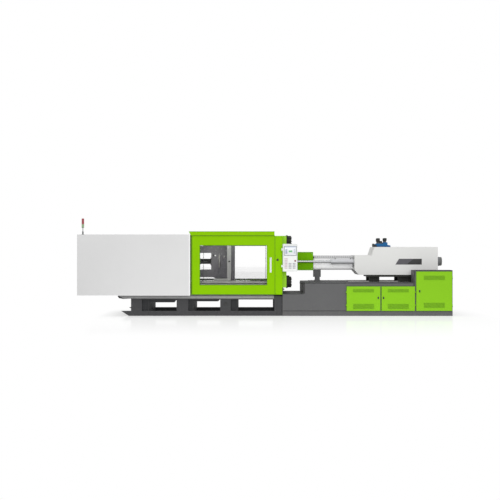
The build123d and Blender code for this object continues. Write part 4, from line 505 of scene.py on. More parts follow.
# Painted shade: the louvre hoods get a darker green than the doors they are pressed from, for the shade
# of the slots.
louvre_green_painted_shade = enamel("louvre_green_painted_shade", colour(118, 172, 28), cloud=0.03, dust=0.1)
shadow_green = enamel("shadow_green", colour(62, 92, 12), 0.6, 0.03, 0.15)
bed_grey = enamel("bed_grey", colour(99, 99, 100), 0.55, 0.05, 0.2, 0.25, 0.2)
repaint_band(bed_grey, "Y", -1.0, -0.9085, colour(44, 46, 44))
clamp_bed_grey_painted_shade = enamel("clamp_bed_grey_painted_shade", colour(70, 70, 72), 0.55, 0.05, 0.08, 0.25, 0.2)
# Painted shade: faces set back inside the bed's outer sides are painted darker for the shade inside the
# bed.
repaint_band(clamp_bed_grey_painted_shade, "Y", -0.845, 0.845, colour(50, 51, 53))
frame_grey = enamel("frame_grey", colour(96, 97, 99), 0.55, 0.05, 0.1)
casting_grey = enamel("casting_grey", colour(106, 104, 108), 0.6, 0.08, 0.1, 0.35, 0.4)
# Painted shade: the platen's outer edges, more than 0.6 m from the middle plane, keep a darker grey for
# the shade on the edge of its mould-side plate; nearer the middle it is the plain casting grey.
platen_grey_painted_shade_edge = enamel("platen_grey_painted_shade_edge", colour(80, 79, 82), 0.6, 0.08, 0.1, 0.35, 0.4)
repaint_band(platen_grey_painted_shade_edge, "Y", -0.6, 0.6, colour(106, 104, 108))
black_enamel = enamel("black_enamel", colour(40, 41, 36), 0.5, 0.06, 0.1, 0.2, 0.2)
valve_blue = enamel("valve_blue", colour(36, 98, 150), 0.4, 0.05, shine=0.08)
switch_grey = enamel("switch_grey", colour(124, 126, 128), cloud=0.04, dust=0.1)
motor_grey = enamel("motor_grey", colour(120, 120, 118), cloud=0.05, dust=0.15)
# Painted highlight: the bed's flange is painted far paler than the bed's dark grey, for the light it
# catches from above.
flange_grey_painted_highlight = enamel("flange_grey_painted_highlight", colour(162, 162, 162), 0.5, 0.05, 0.1, 0.2)
pale_casting = enamel("pale_strip", colour(142, 142, 140), cloud=0.05)
slot_grey = enamel("slot_grey", colour(96, 95, 100), 0.6, 0.03, 0.15)
vane_grey = enamel("vane_grey", colour(124, 123, 128), cloud=0.03, dust=0.15)
ledge_dark = enamel("ledge_dark", colour(58, 59, 60), cloud=0.05, dust=0.15)
seam_dark = enamel("seam_dark", colour(66, 66, 66), 0.6, 0.05, 0.15)
seam_light = enamel("seam_light", colour(190, 190, 190), dust=0.15)
ground_steel = bright_metal("ground_steel", colour(176, 176, 174), 0.38, 0.08)
chrome = bright_metal("hard_chrome", colour(182, 183, 185), 0.24, 0.03, scratches=0.012)
way_steel = bright_metal("way_steel", colour(150, 149, 147), 0.5, 0.06)
cylinder_grey = bright_metal("cylinder_grey", colour(192, 193, 196), 0.4, 0.04, 0.35)
band_steel = bright_metal("band_steel", colour(150, 146, 140), contrast=0.15)
black_screw = bright_metal("black_screw", colour(56, 56, 58), metallic=0.6)
zinc_screw = bright_metal("zinc_screw", colour(150, 152, 152), 0.35)
pale_union = bright_metal("pale_union", colour(168, 166, 160))
guard_sheet = perforated_sheet("guard_sheet")
white_plastic = plastic("white_plastic", colour(246, 248, 246), 0.5)
black_plastic = plastic("black_plastic", colour(50, 58, 57), 0.5)
seal_black = plastic("seal_black", colour(40, 42, 40), 0.7, 0.3)
red_plastic = plastic("red_plastic", colour(150, 35, 45), 0.3, 0.05)
dark_plastic = plastic("dark_button", colour(48, 52, 30), 0.4, 0.05)
key_grey = plastic("key_grey", colour(176, 178, 182))
key_rose = plastic("key_rose", colour(206, 190, 194))
bezel_grey = plastic("bezel_grey", colour(160, 164, 168))
clear_pane = clear_sheet("clear_pane")
screen_glass = screen_face("screen_face")
red_lens = lens("red_lens", colour(178, 62, 74))
green_lens = lens("green_lens", colour(166, 200, 152))

# Slot and finish of the detail pieces
ZINC = ("ground_steel", zinc_screw)
BLACK_STEEL = ("black_paint", black_screw)
BLACK = ("black_plastic", seal_black)
SEAM = ("dark_grey_paint", seam_dark)
LEDGE = ("dark_grey_paint", ledge_dark)
PANEL_GREY = ("dark_grey_paint", bed_grey)
GREEN_LINE = ("green_paint", line_green)
# Dark green strips that are painted shade
PAINTED_SHADE_GREEN = ("green_paint", seal_and_shade_green)
GREEN = ("green_paint", door_green)
MOTOR = ("grey_paint", motor_grey)
PALE_GREY = ("grey_paint", bezel_grey)
SEAT = ("grey_paint", slot_grey)
SWITCH = ("grey_paint", switch_grey)
COVER = ("white_paint", warm_white)
PANEL_RIM = ("white_plastic", key_grey)

NODE_FINISHES = (
    (clamp_bed_grey_painted_shade, "clamp_bed"),
    (bed_grey, "injection_bed cabinet_frame control_cabinet clamp_cylinder ejector_cylinder"),
    (way_steel, "slide_ways"),
    (casting_grey, "fixed_platen rear_platen rear_link_upper rear_link_lower front_link_upper"),
    (casting_grey, "front_link_lower crosshead_link_upper crosshead_link_lower crosshead"),
    (casting_grey, "injection_block"),
    (platen_grey_painted_shade_edge, "moving_platen"),
    (chrome, "tie_bars carriage_rods screw"),
    (black_enamel, "tie_bar_retainers carriage_base"),
    (frame_grey, "housing_frame"),
    (highlighted_cover_white, "housing_side_covers"),
    (white_paint, "housing_roof"),
    (warm_white, "injection_housing"),
    (door_green, "canopy front_door_frame rear_door_frame"),
    (guard_green_with_painted_light, "platen_guards"),
    (hood_green, "purge_guard"),
    (cabinet_green, "cabinet_left_door cabinet_right_door control_door"),
    (green_lens, "beacon_green"),
    (red_lens, "beacon_red"),
    (switch_grey, "oil_tank pump_motor injection_drive hmi_front"),
    (ground_steel, "purge_guard_rails adjusting_nuts ejector_plate"),
    (pale_casting, "platen_guides"),
    (band_steel, "barrel"),
    (guard_sheet, "barrel_guard"),
    (cylinder_grey, "carriage_cylinders"),
    (valve_blue, "manifold"),
    (clear_pane, "front_door_pane rear_door_pane"),
    (white_plastic, "front_door_handle hmi_housing"),
    (black_plastic, "beacon_pole valves cabinet_left_latch cabinet_right_latch control_latch"),
    (red_plastic, "hmi_estop"),
    (dark_plastic, "guard_button"),
)


def dress_nodes():
    """Every carried-over piece takes its finish."""
    for finish, names in NODE_FINISHES:
        for name in names.split():
            nodes[name].data.materials.clear()
            nodes[name].data.materials.append(finish)


# Ways of shaping a piece that many parts of the machine share


def nothing_selected():
    """Drops the selection, because an operator acts on all that is selected."""
    bpy.ops.object.select_all(action="DESELECT")


def start_editing(kind):
    """Opens edit mode with nothing selected, for faces, edges or corners."""
    bpy.ops.object.mode_set(mode="EDIT")
    bpy.ops.mesh.select_mode(type=kind)
    bpy.ops.mesh.select_all(action="DESELECT")


def stop_editing():
    """Goes back to whole objects."""
    bpy.ops.object.mode_set(mode="OBJECT")


def apply_transform():
    """Writes the selected object's place, turn and size into its mesh."""
    bpy.ops.object.transform_apply(location=True, rotation=True, scale=True)


def fresh_block(corner, opposite):
    """Block between two opposite corners, ready to be shaped."""
    nothing_selected()
    middle = [(a + b) / 2 for a, b in zip(corner, opposite)]
    bpy.ops.mesh.primitive_cube_add(size=1, location=middle)
    block = bpy.context.object
    block.scale = [abs(b - a) for a, b in zip(corner, opposite)]
    apply_transform()
    return block


def fresh_round(centre, radius, depth, direction, sides=32):
    """Round blank of a given depth whose axis runs along a direction."""
    nothing_selected()
    turn = Vector(direction).to_track_quat("Z", "Y").to_euler()
    bpy.ops.mesh.primitive_cylinder_add(
        vertices=sides, radius=radius, depth=depth, location=centre, rotation=turn
    )
    apply_transform()
    return bpy.context.object


def pick_faces(piece, direction):
    """Opens edit mode with only the faces that look along a direction selected."""
    aim = Vector(direction)
    start_editing("FACE")
    shape = bmesh.from_edit_mesh(piece.data)
    for face in shape.faces:
        face.select = face.normal.dot(aim) > 0.95
    bmesh.update_edit_mesh(piece.data)


def slide_corners(piece, wanted, move):
    """Moves the corners that a test picks, so that a square end gets a slant."""
    start_editing("VERT")
    shape = bmesh.from_edit_mesh(piece.data)
    for corner in shape.verts:
        corner.select = wanted(corner.co)
    bmesh.update_edit_mesh(piece.data)
    bpy.ops.transform.translate(value=move)
    stop_editing()


def step_faces(piece, direction, *steps):
    """Each step insets the faces on one side by a border and moves them out by a depth, or in."""
    pick_faces(piece, direction)
    for border, depth in steps:
        bpy.ops.mesh.inset(thickness=border, depth=depth)
    stop_editing()


def stretch(piece, direction, value, centre):
    """Scales the faces on one side, or the whole piece without a direction, about a centre."""
    if direction:
        pick_faces(piece, direction)
    else:
        start_editing("FACE")
        bpy.ops.mesh.select_all(action="SELECT")
    bpy.ops.transform.resize(value=value, center_override=centre)
    stop_editing()


def soften(piece, width, steps=2):
    """Rounds every sharp edge of a piece."""
    bevel = piece.modifiers.new("edge_round", "BEVEL")
    bevel.width = width
    bevel.segments = steps
    bevel.limit_method = "ANGLE"
    bevel.angle_limit = math.radians(40)
    bpy.ops.object.modifier_apply(modifier=bevel.name)


def in_rows(piece, count, step):
    """Repeats a piece in a row."""
    row = piece.modifiers.new("row", "ARRAY")
    row.count = count
    row.use_relative_offset = False
    row.use_constant_offset = True
    row.constant_offset_displace = step
    bpy.ops.object.modifier_apply(modifier=row.name)


def complete(piece, name, body, look):
    """Names a shaped piece, lets it ride on its body and gives it its finish."""
    nothing_selected()
    piece.select_set(True)
    bpy.context.view_layer.objects.active = piece
    apply_transform()
    bpy.ops.object.mode_set(mode="EDIT")
    bpy.ops.mesh.select_all(action="SELECT")
    bpy.ops.mesh.remove_doubles(threshold=0.00001)
    bpy.ops.mesh.normals_make_consistent(inside=False)
    stop_editing()
    bpy.ops.object.shade_smooth_by_angle(angle=math.radians(35))
    slot, finish = look
    piece.name = name
    piece.data.name = name
    piece.data.materials.clear()
    piece.data.materials.append(finish)
    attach(piece, body)
    return piece


def stepped(blank, name, side, steps, edge, body, look, rows=()):
    """Piece made from a blank: steps on one side, rounded edges and copies in rows, each if asked."""
    if steps:
        step_faces(blank, side, *steps)
    if edge:
        soften(blank, edge)
    for count, step in rows:
        in_rows(blank, count, step)
    return complete(blank, name, body, look)


def plate(name, corner, opposite, side, steps, edge, body, look, rows=()):
    """Plate or box between two corners with steps on one side."""
    blank = fresh_block(corner, opposite)
    return stepped(blank, name, side, steps, edge, body, look, rows)


def strip(name, corner, opposite, edge, body, look):
    """Flat bar between two corners with rounded edges."""
    return plate(name, corner, opposite, UP, (), edge, body, look)


def disc(name, centre, radius, depth, side, steps, edge, body, look, sides=32):
    """Round piece with steps on its end."""
    blank = fresh_round(centre, radius, depth, side, sides)
    return stepped(blank, name, side, steps, edge, body, look)


def open_ring(name, centre, radius, wall, depth, direction, body, look, sides=40):
    """Flat ring: a round blank whose middle is cut out on both faces and lined with an inner wall."""
    ring = fresh_round(centre, radius, depth, direction, sides)
    for way in (1, -1):
        pick_faces(ring, [way * part for part in direction])
        bpy.ops.mesh.inset(thickness=wall, depth=0)
        bpy.ops.mesh.delete(type="FACE")
        stop_editing()
    start_editing("EDGE")
    bpy.ops.mesh.select_non_manifold()
    bpy.ops.mesh.bridge_edge_loops()
    stop_editing()
    soften(ring, min(wall, depth) * 0.2)
    return complete(ring, name, body, look)


def border_strip(name, x, z, y, width, depth, body, look):
    """Rectangular frame round an opening, standing on the face at y towards the operator or the rear."""
    nothing_selected()
    middle = ((x[0] + x[1]) / 2, y, (z[0] + z[1]) / 2)
    bpy.ops.mesh.primitive_plane_add(size=1, location=middle, rotation=(math.radians(90), 0, 0))
    border = bpy.context.object
    border.scale = (x[1] - x[0] + 2 * width, z[1] - z[0] + 2 * width, 1)
    apply_transform()
    bpy.ops.object.mode_set(mode="EDIT")
    bpy.ops.mesh.select_all(action="SELECT")
    bpy.ops.mesh.inset(thickness=width, depth=0)
    bpy.ops.mesh.delete(type="FACE")
    stop_editing()
    wall = border.modifiers.new("wall", "SOLIDIFY")
    wall.thickness = depth
    wall.offset = 0
    bpy.ops.object.modifier_apply(modifier=wall.name)
    border.data.transform(Matrix.Translation((0, math.copysign(depth / 2, y), 0)))
    soften(border, min(width, depth) * 0.3)
    return complete(border, name, body, look)


def copies_at(pattern, places, direction):
    """Copies of a pattern piece, each with its own mesh, set at places and joined."""
    turn = Vector(direction).to_track_quat("Z", "Y").to_matrix().to_4x4()
    made = []
    for place in places:
        twin = pattern.copy()
        twin.data = pattern.data.copy()
        twin.data.transform(Matrix.Translation(place) @ turn)
        bpy.context.scene.collection.objects.link(twin)
        made.append(twin)
    bpy.data.objects.remove(pattern)
    nothing_selected()
    for twin in made:
        twin.select_set(True)
    bpy.context.view_layer.objects.active = made[0]
    if len(made) > 1:
        bpy.ops.object.join()
    return bpy.context.object


def screws(name, places, radius, height, direction, body, look=ZINC):
    """Cap screws on washers, standing at places on one face."""
    screw = fresh_round((0, 0, height * 0.1), radius * 1.5, height * 0.2, UP, 14)
    head = (0, height * 0.8)
    rim = (radius * 0.12, height * 0.06)
    socket = (radius * 0.38, -height * 0.45)
    step_faces(screw, UP, (radius * 0.5, 0), head, rim, socket)
    return complete(copies_at(screw, places, direction), name, body, look)


def grid(xs, ys, zs):
    """Places at every pairing of the given coordinates."""
    return list(product(xs, ys, zs))


def in_steps(start, step, count):
    """Coordinates at equal steps."""
    return [start + step * number for number in range(count)]


def ring_places(x, y, z, radius, count, start=0.0):
    """Places on a circle that stands across the machine's length."""
    turns = in_steps(start, 2 * math.pi / count, count)
    return [(x, y + radius * math.cos(turn), z + radius * math.sin(turn)) for turn in turns]


def louvre_hoods(name, x, z, rows, side, face, hood, body, look):
    """Rows of pressed louvre hoods over the slots of a door or a panel."""
    half, reach, below, above, squeeze, pitch = hood
    top = z + (rows - 1) * pitch / 2
    outer = face + side * reach
    hoods = fresh_block((x - half, face, top - below), (x + half, outer, top + above))
    stretch(hoods, (0, side, 0), (0.985, 1, squeeze), (x, outer, top - 0.006))
    soften(hoods, 0.0015)
    in_rows(hoods, rows, (0, 0, -pitch))
    return complete(hoods, name, body, look)


# Platens, toggle and tie bars


def dress_tie_bars():
    """Cap screws on the four flange nuts and centre plugs in the ends of the tie bars."""
    for number, (y, z) in enumerate(TIE_BAR_PLACES):
        places = ring_places(0.708, y, z, 0.108, 10)
        screws(f"retainer_screws_{number}", places, 0.013, 0.016, TO_RIGHT, "machine", BLACK_STEEL)
        disc(f"tie_bar_plug_{number}", (0.6935, y, z), 0.02, 0.007, TO_RIGHT, ((0.006, 0.003),), 0.001,
             "machine", ZINC, 24)


def oil_distributor(name, x, y, z_low, z_high, outlets, body):
    """Lubrication block with a row of outlet unions."""
    side = 1 if y > 0 else -1
    plate(name, (x - 0.018, y, z_low), (x + 0.018, y + side * 0.022, z_high), (0, side, 0),
          ((0.004, 0.003),), 0.002, body, ("ground_steel", pale_union))
    union = fresh_round((0, 0, 0.008), 0.0085, 0.016, UP, 6)
    step_faces(union, UP, (0.0025, 0.001), (0.0005, 0.012))
    soften(union, 0.0007)
    pitch = (z_high - z_low) / outlets
    places = grid((x,), (y + side * 0.024,), in_steps(z_low + pitch / 2, pitch, outlets))
    joined = copies_at(union, places, (0, side, 0))
    complete(joined, f"{name}_unions", body, ZINC)


def dress_platens():
    """Oil distributors, plugs and screws of the platens and of the cylinders' caps."""
    for side, hand in SIDES:
        outward = (0, side, 0)
        web = side * WEB_FACE
        oil_distributor(f"moving_oil_block_{hand}", -1.27, web, 1.3, 1.655, 9, "moving_platen")
        oil_distributor(f"moving_oil_block_two_{hand}", -1.135, web, 1.56, 1.64, 3, "moving_platen")
        disc(f"guide_plug_{hand}", (-1.0, side * 0.7155, 1.478), 0.02, 0.003, outward,
             ((0.007, 0.0005), (0.001, -0.0015)), 0, "moving_platen", ("ground_steel", seal_black), 28)
        places = grid((-1.31, -1.0), (side * 0.7952,), (0.968,))
        screws(f"guide_shoe_screws_{hand}", places, 0.016, 0.02, outward, "moving_platen")
        places = grid((0.26, 0.5), (side * PLATEN_FACE,), (0.72, 0.84))
        screws(f"fixed_foot_screws_{hand}", places, 0.014, 0.018, outward, "machine")
        places = grid((0.26, 0.5), (side * PLATEN_FACE,), (1.2, 1.75))
        screws(f"fixed_side_plugs_{hand}", places, 0.01, 0.008, outward, "machine")
    places = ring_places(-4.8502, 0, AXIS_HEIGHT, 0.15, 12)
    screws("clamp_cap_screws", places, 0.012, 0.016, TO_LEFT, "rear_platen")
    places = ring_places(-1.8502, 0, AXIS_HEIGHT, 0.085, 8)
    screws("ejector_cap_screws", places, 0.007, 0.01, TO_LEFT, "moving_platen")


def dress_ways():
    """Clamp screws and a marked measuring strip along the two guide beams."""
    for side, hand in SIDES:
        face = side * WAY_FACE
        outer = side * 0.8052
        outward = (0, side, 0)
        places = grid(in_steps(-3.5, 0.3, 12), (face,), (0.625,))
        screws(f"way_screws_{hand}", places, 0.012, 0.012, outward, "machine")
        plate(f"way_scale_{hand}", (-2.5, face, 0.83), (0.1, outer, 0.858), outward,
              ((0.004, -0.0012),), 0.0006, "machine", PALE_GREY)
        plate(f"way_marks_{hand}", (-2.46, face, 0.836), (-2.457, outer, 0.852), outward,
              ((0.0006, -0.0002),), 0, "machine", ("black_paint", seal_black), ((50, (0.051, 0, 0)),))


# Barrel, carriage cylinders, manifold and drive


def dress_barrel():
    """Clamp lugs, screws and terminal boxes of the heater bands, and the guard's screws and fold."""
    for band in range(1, 9):
        x = 0.86 + 0.185 * band + 0.065
        plate(f"band_terminal_{band}", (x - 0.03, 0.02, AXIS_HEIGHT + 0.12),
              (x + 0.03, 0.06, AXIS_HEIGHT + 0.147), UP, ((0.005, 0.002),), 0.002,
              "carriage", ("band_steel", seal_black))
        plate(f"band_lug_{band}", (x - 0.058, -0.014, AXIS_HEIGHT - 0.142),
              (x + 0.058, 0.014, AXIS_HEIGHT - 0.118), DOWN, ((0.004, 0),), 0.002,
              "carriage", ("band_steel", band_steel))
        places = grid((x - 0.04, x + 0.04), (-0.014,), (AXIS_HEIGHT - 0.131,))
        screws(f"band_screws_{band}", places, 0.004, 0.012, TO_OPERATOR, "carriage")
    for side, hand in SIDES:
        places = grid((1.38, 1.9, 2.44), (side * BARREL_GUARD_FACE,), (1.32, 1.53))
        screws(f"barrel_guard_screws_{hand}", places, 0.005, 0.005, (0, side, 0), "carriage")
    plate("thermocouple_socket", (1.3495, -0.215, 1.56), (1.374, -0.196, 1.61), TO_OPERATOR,
          ((0.004, 0.003),), 0.003, "carriage", BLACK)
    strip("barrel_guard_end_fold", (2.446, -0.2035, 1.31), (2.469, -BARREL_GUARD_FACE, 1.572), 0.001,
          "carriage", ("grey_paint", vane_grey))


def dress_carriage():
    """Gland screws and unions of the carriage cylinders, and the screws of the carriage."""
    for side, hand in SIDES:
        y = side * 0.3
        outward = (0, side, 0)
        places = ring_places(1.8328, y, AXIS_HEIGHT, 0.058, 6, 0.5)
        screws(f"gland_screws_{hand}", places, 0.006, 0.008, TO_LEFT, "carriage")
        for number, x in (("one", 1.95), ("two", 2.38)):
            disc(f"cylinder_union_{number}_{hand}", (x, y, AXIS_HEIGHT + 0.075), 0.017, 0.02, UP,
                 ((0.005, 0.002), (0.001, 0.02)), 0.0012, "carriage", ZINC, 6)
        places = grid((2.98, 3.3, 3.62, 3.94), (side * COVER_FACE,), (1.09,))
        screws(f"carriage_plate_screws_{hand}", places, 0.008, 0.01, outward, "carriage", BLACK_STEEL)
        for number, x in enumerate((3.0, 3.95)):
            places = grid((x, x + 0.11), (side * LEG_FACE,), (0.96, 1.02))
            screws(f"carriage_leg_screws_{hand}_{number}", places, 0.011, 0.012, outward,
                   "carriage", BLACK_STEEL)


def dress_manifold():
    """Valve feet, coils and screws, port plugs, seat and hose end of the manifold."""
    valves = ((3.18, 0.042, 1.974, 2.128), (3.25, 0.034, 1.974, 2.05), (3.37, 0.042, 2.008, 2.131))
    for number, (x, half, low, high) in enumerate(valves):
        for side, hand in SIDES:
            y = side * 0.08
            coil = fresh_block((x - half, y - 0.038, low + (high - low) * 0.35),
                               (x + half, y + 0.038, high - 0.012))
            step_faces(coil, (0, side, 0), (0.008, 0.004))
            step_faces(coil, UP, (0.012, 0.006))
            soften(coil, 0.005, 3)
            complete(coil, f"valve_coil_{number}_{hand}", "carriage", BLACK)
            plate(f"valve_foot_{number}_{hand}", (x - 0.033, y - 0.033, low - 0.001),
                  (x + 0.033, y + 0.033, low + 0.028), UP, ((0.004, 0),), 0.003, "carriage", SEAT)
            places = grid((x - 0.027, x + 0.027), (y - 0.027, y + 0.027), (low + 0.028,))
            screws(f"valve_screws_{number}_{hand}", places, 0.003, 0.005, UP, "carriage")
    for side, hand in SIDES:
        plug = fresh_round((0, 0, 0.004), 0.014, 0.008, UP, 6)
        step_faces(plug, UP, (0.004, 0), (0.002, -0.004))
        soften(plug, 0.0008)
        places = grid(in_steps(3.12, 0.075, 5), (side * MANIFOLD_FACE,), (1.912,))
        joined = copies_at(plug, places, (0, side, 0))
        complete(joined, f"manifold_plugs_{hand}", "carriage", ("blue_paint", valve_blue))
    plate("manifold_seat", (3.05, -0.165, 1.8785), (3.53, 0.165, 1.886), UP, ((0.01, 0),), 0.002,
          "carriage", SEAT)
    elbow = fresh_round((3.092, -0.18, 1.915), 0.024, 0.05, TO_RIGHT, 24)
    stepped(elbow, "manifold_hose_end", TO_LEFT, ((0.005, 0.012),), 0.003, "carriage", BLACK)


def dress_drive():
    """Cooling fins, fan cowl and its screws, and the ring where the screw motor leaves the housing."""
    fin = fresh_round((4.7935, 0, AXIS_HEIGHT), 0.1245, 0.005, TO_RIGHT, 48)
    stepped(fin, "motor_fins", TO_RIGHT, ((0.004, 0.0005),), 0, "drive", MOTOR, ((9, (0.011, 0, 0)),))
    cowl = fresh_round((4.935, 0, AXIS_HEIGHT), 0.1215, 0.04, TO_RIGHT, 48)
    step_faces(cowl, TO_RIGHT, (0.02, 0.004))
    stepped(cowl, "motor_cowl", TO_RIGHT, ((0.01, -0.004),), 0.003, "drive", MOTOR)
    places = ring_places(4.9585, 0, AXIS_HEIGHT, 0.105, 8)
    screws("motor_cowl_screws", places, 0.004, 0.005, TO_RIGHT, "drive")
    open_ring("motor_opening_ring", (4.777, 0, AXIS_HEIGHT), 0.158, 0.022, 0.004, TO_RIGHT,
              "carriage", BLACK, 48)


def dress_purge_guard():
    """Folds and screws of the purge guard."""
    for side, hand in SIDES:
        face = side * PURGE_FACE
        for number, (low, high) in enumerate(((1.722, 1.738), (1.229, 1.242))):
            strip(f"purge_fold_{hand}_{number}", (0.722, face, low), (1.338, side * 0.2342, high), 0.001,
                  "purge_guard", GREEN_LINE)
        places = grid((0.76, 1.3), (face,), (1.27, 1.69))
        screws(f"purge_screws_{hand}", places, 0.006, 0.006, (0, side, 0), "purge_guard")


# Rear side and housing


def dress_rear():
    """Hoods and screws of the rear panels."""
    edges = (2.196, 3.13, 4.03, 5.089)
    for number, (left, right) in enumerate(zip(edges, edges[1:])):
        for row, z in enumerate((0.69, 0.3)):
            louvre_hoods(f"rear_hoods_{number}_{row}", (left + right) / 2, z, 5, 1, BED_FACE, REAR_HOOD,
                         "machine", PANEL_GREY)
        places = grid((left + 0.04, right - 0.04), (BED_FACE,), (0.18, 0.5, 0.85))
        screws(f"rear_panel_screws_{number}", places, 0.007, 0.007, (0, 1, 0), "machine")


def dress_roof():
    """Joints and lifting plugs of the housing's roof."""
    for number, x in enumerate((-4.08, -3.07)):
        strip(f"roof_joint_{number}", (x - 0.004, -1.09, 2.2142), (x + 0.004, 1.09, 2.2158), 0.0005,
              "machine", ("white_paint", seam_light))
    for number, place in enumerate(grid((-4.6, -2.5), (-0.75, 0.75), (2.2152,))):
        disc(f"roof_lifting_plug_{number}", place, 0.035, 0.0024, UP, ((0.008, -0.001), (0.012, 0.0012)),
             0.0005, "machine", ("white_paint", zinc_screw), 28)


def dress_beacon():
    """Black rings between the lenses, and the collar and foot screws of the signal tower."""
    x, y = -5.008, -0.7
    for number, z in enumerate((2.412, 2.503)):
        disc(f"beacon_ring_{number}", (x, y, z), 0.0325, 0.01, UP, ((0.004, 0.001),), 0.001,
             "machine", BLACK, 40)
    disc("beacon_collar", (x, y, 2.292), 0.016, 0.02, UP, ((0.003, 0.004),), 0.001, "machine", BLACK, 24)
    turns = (0.8, 2.4, 3.9, 5.5)
    places = [(x + 0.025 * math.cos(turn), y + 0.025 * math.sin(turn), 2.232) for turn in turns]
    screws("beacon_foot_screws", places, 0.0022, 0.003, UP, "machine")


# Clamp bed


def dress_clamp_bed():
    """Top flange along both sides, painted pale as a painted highlight, with its screws, weld seams, and
    rings round the lifting holes.
    """
    for side, hand in SIDES:
        outer = side * 0.858
        outward = (0, side, 0)
        # The flange's pale paint is a painted highlight of the light from above.
        flange = fresh_block((-4.03, side * 0.8505, 0.474), (0.225, outer, 0.552))
        slide_corners(flange, lambda place: place.x < -3.9 and place.z < 0.5, (0.165, 0, 0))
        soften(flange, 0.001)
        complete(flange, f"bed_flange_{hand}", "machine", ("dark_grey_paint", flange_grey_painted_highlight))
        places = grid(in_steps(-3.58, 0.42, 10), (outer,), (0.513,))
        screws(f"bed_flange_screws_{hand}", places, 0.011, 0.012, outward, "machine")
        disc(f"bed_lifting_ring_{hand}", (-1.0935, side * 0.8525, 0.33), 0.048, 0.006, outward,
             ((0.014, 0), (0.001, -0.005)), 0.001, "machine", SEAM, 36)
        for number, x in enumerate((-3.19, -1.985, -0.78, 0.302)):
            strip(f"bed_weld_{hand}_{number}", (x, side * 0.85, 0.008), (x + 0.012, side * 0.853, 0.466),
                  0.001, "machine", SEAM)


# Mould area: canopy, doors and guards


def dress_canopy():
    """Drip edge under the canopy's skirt in a dark green that is painted shade of the gap above the
    doors, its top fold, and two hatches with their screws.
    """
    for side, hand in SIDES:
        face = side * CANOPY_FACE
        # Painted shade: the dark drip edge stands for the shade in the gap between the canopy and the
        # doors.
        strip(f"canopy_drip_edge_{hand}", (-2.022, face, 2.176), (0.238, side * 1.0145, 2.192), 0.001,
              "machine", PAINTED_SHADE_GREEN)
        strip(f"canopy_top_fold_{hand}", (-2.08, face, 2.288), (0.238, side * 1.0125, 2.2985), 0.0005,
              "machine", GREEN_LINE)
    for number, x in enumerate((-1.35, -0.6)):
        plate(f"canopy_hatch_{number}", (x - 0.3, -0.45, 2.3), (x + 0.3, 0.45, 2.306), UP,
              ((0.04, 0), (0.003, -0.003)), 0.002, "machine", GREEN)
        places = grid((x - 0.28, x + 0.28), (-0.43, 0, 0.43), (2.306,))
        screws(f"canopy_hatch_screws_{number}", places, 0.006, 0.005, UP, "machine")


def dress_doors():
    """Window seals, edge folds, screws and the grip's rim of the sliding doors; the dark strip along each
    door's left edge is a painted shadow of the housing's edge.
    """
    for side, hand in SIDES:
        body = f"{hand}_door"
        face = side * DOOR_FACE
        outer = side * (DOOR_FACE + DOOR_RELIEF)
        border_strip(f"{hand}_window_seal", (-1.779, 0.031), (0.852, 1.914), face, 0.012, DOOR_RELIEF,
                     body, ("black_plastic", seal_and_shade_green))
        for place, left, right, low, high, look in (
            # Painted shadow: the dark green strip on the left edge stands for the housing edge's shadow
            # on the door.
            ("left", -2.029, -1.99, 0.592, 2.184, PAINTED_SHADE_GREEN),
            ("foot", -1.988, 0.248, 0.588, 0.597, GREEN_LINE),
            ("right", 0.2415, 0.2495, 0.6, 2.184, GREEN_LINE),
        ):
            strip(f"{hand}_door_{place}_fold", (left, face, low), (right, outer, high), 0.001, body, look)
        places = grid((-1.9, -0.9, 0.19), (face,), (0.645, 2.125))
        screws(f"{hand}_door_screws", places, 0.006, DOOR_RELIEF, (0, side, 0), body, GREEN)
    border_strip("front_grip_rim", (0.119, 0.155), (1.192, 1.588), -DOOR_FACE, 0.006, 0.002,
                 "front_door", ("white_plastic", white_plastic))


def dress_guards():
    """Bezel of the button, screws and folds of the guards round the fixed platen."""
    open_ring("guard_button_bezel", (0.324, -1.0045, 1.527), 0.031, 0.0065, 0.008, TO_OPERATOR,
              "machine", BLACK)
    for side, hand in SIDES:
        face = side * DOOR_FACE
        places = grid((0.275, 0.43), (face,), (0.62, 1.1, 1.64, 2.15))
        screws(f"guard_screws_{hand}", places, 0.006, 0.006, (0, side, 0), "machine", GREEN_LINE)
        places = grid((0.545,), (side * STEP_FACE,), (0.8, 1.2, 1.7, 2.15))
        screws(f"guard_step_screws_{hand}", places, 0.006, 0.006, (0, side, 0), "machine")
        strip(f"guard_edge_fold_{hand}", (0.256, face, 0.592), (0.263, side * 1.0032, 2.175), 0.0008,
              "machine", GREEN_LINE)


# Operator's panel


def dress_panel():
    """Screen in its bezel, the key field and the emergency stop's ring."""
    bezel = plate("panel_bezel", (0.493, FRONT_Y, 1.639), (0.835, PANEL_FACE, 1.908), TO_OPERATOR,
                  ((0.014, 0), (0.003, -0.002)), 0.0006, "hmi", ("black_plastic", bezel_grey))
    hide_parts("hmi_front")
    strip("panel_screen", (0.511, FRONT_Y + 0.0011, 1.657), (0.817, PANEL_FACE - 0.0005, 1.89), 0.0004,
          "hmi", ("black_plastic", screen_glass))
    columns = ((0.509, 7, key_rose), (0.618, 4, key_grey), (0.727, 4, key_grey))
    for number, (x, rows, finish) in enumerate(columns):
        plate(f"panel_keys_{number}", (x, FRONT_Y + 0.0002, 1.29), (x + 0.034, PANEL_FACE, 1.32),
              TO_OPERATOR, ((0.003, 0),), 0.0012, "hmi", ("black_plastic", finish),
              ((2, (0.044, 0, 0)), (rows, (0, 0, 0.042))))
    open_ring("panel_stop_ring", (0.796, -1.0976, 1.502), 0.027, 0.0055, 0.003, TO_OPERATOR,
              "hmi", PANEL_RIM)
    border_strip("panel_edge", (0.478, 0.84), (1.23, 1.944), -1.0955, 0.004, 0.003, "hmi", PANEL_RIM)


# Injection bed and cabinets


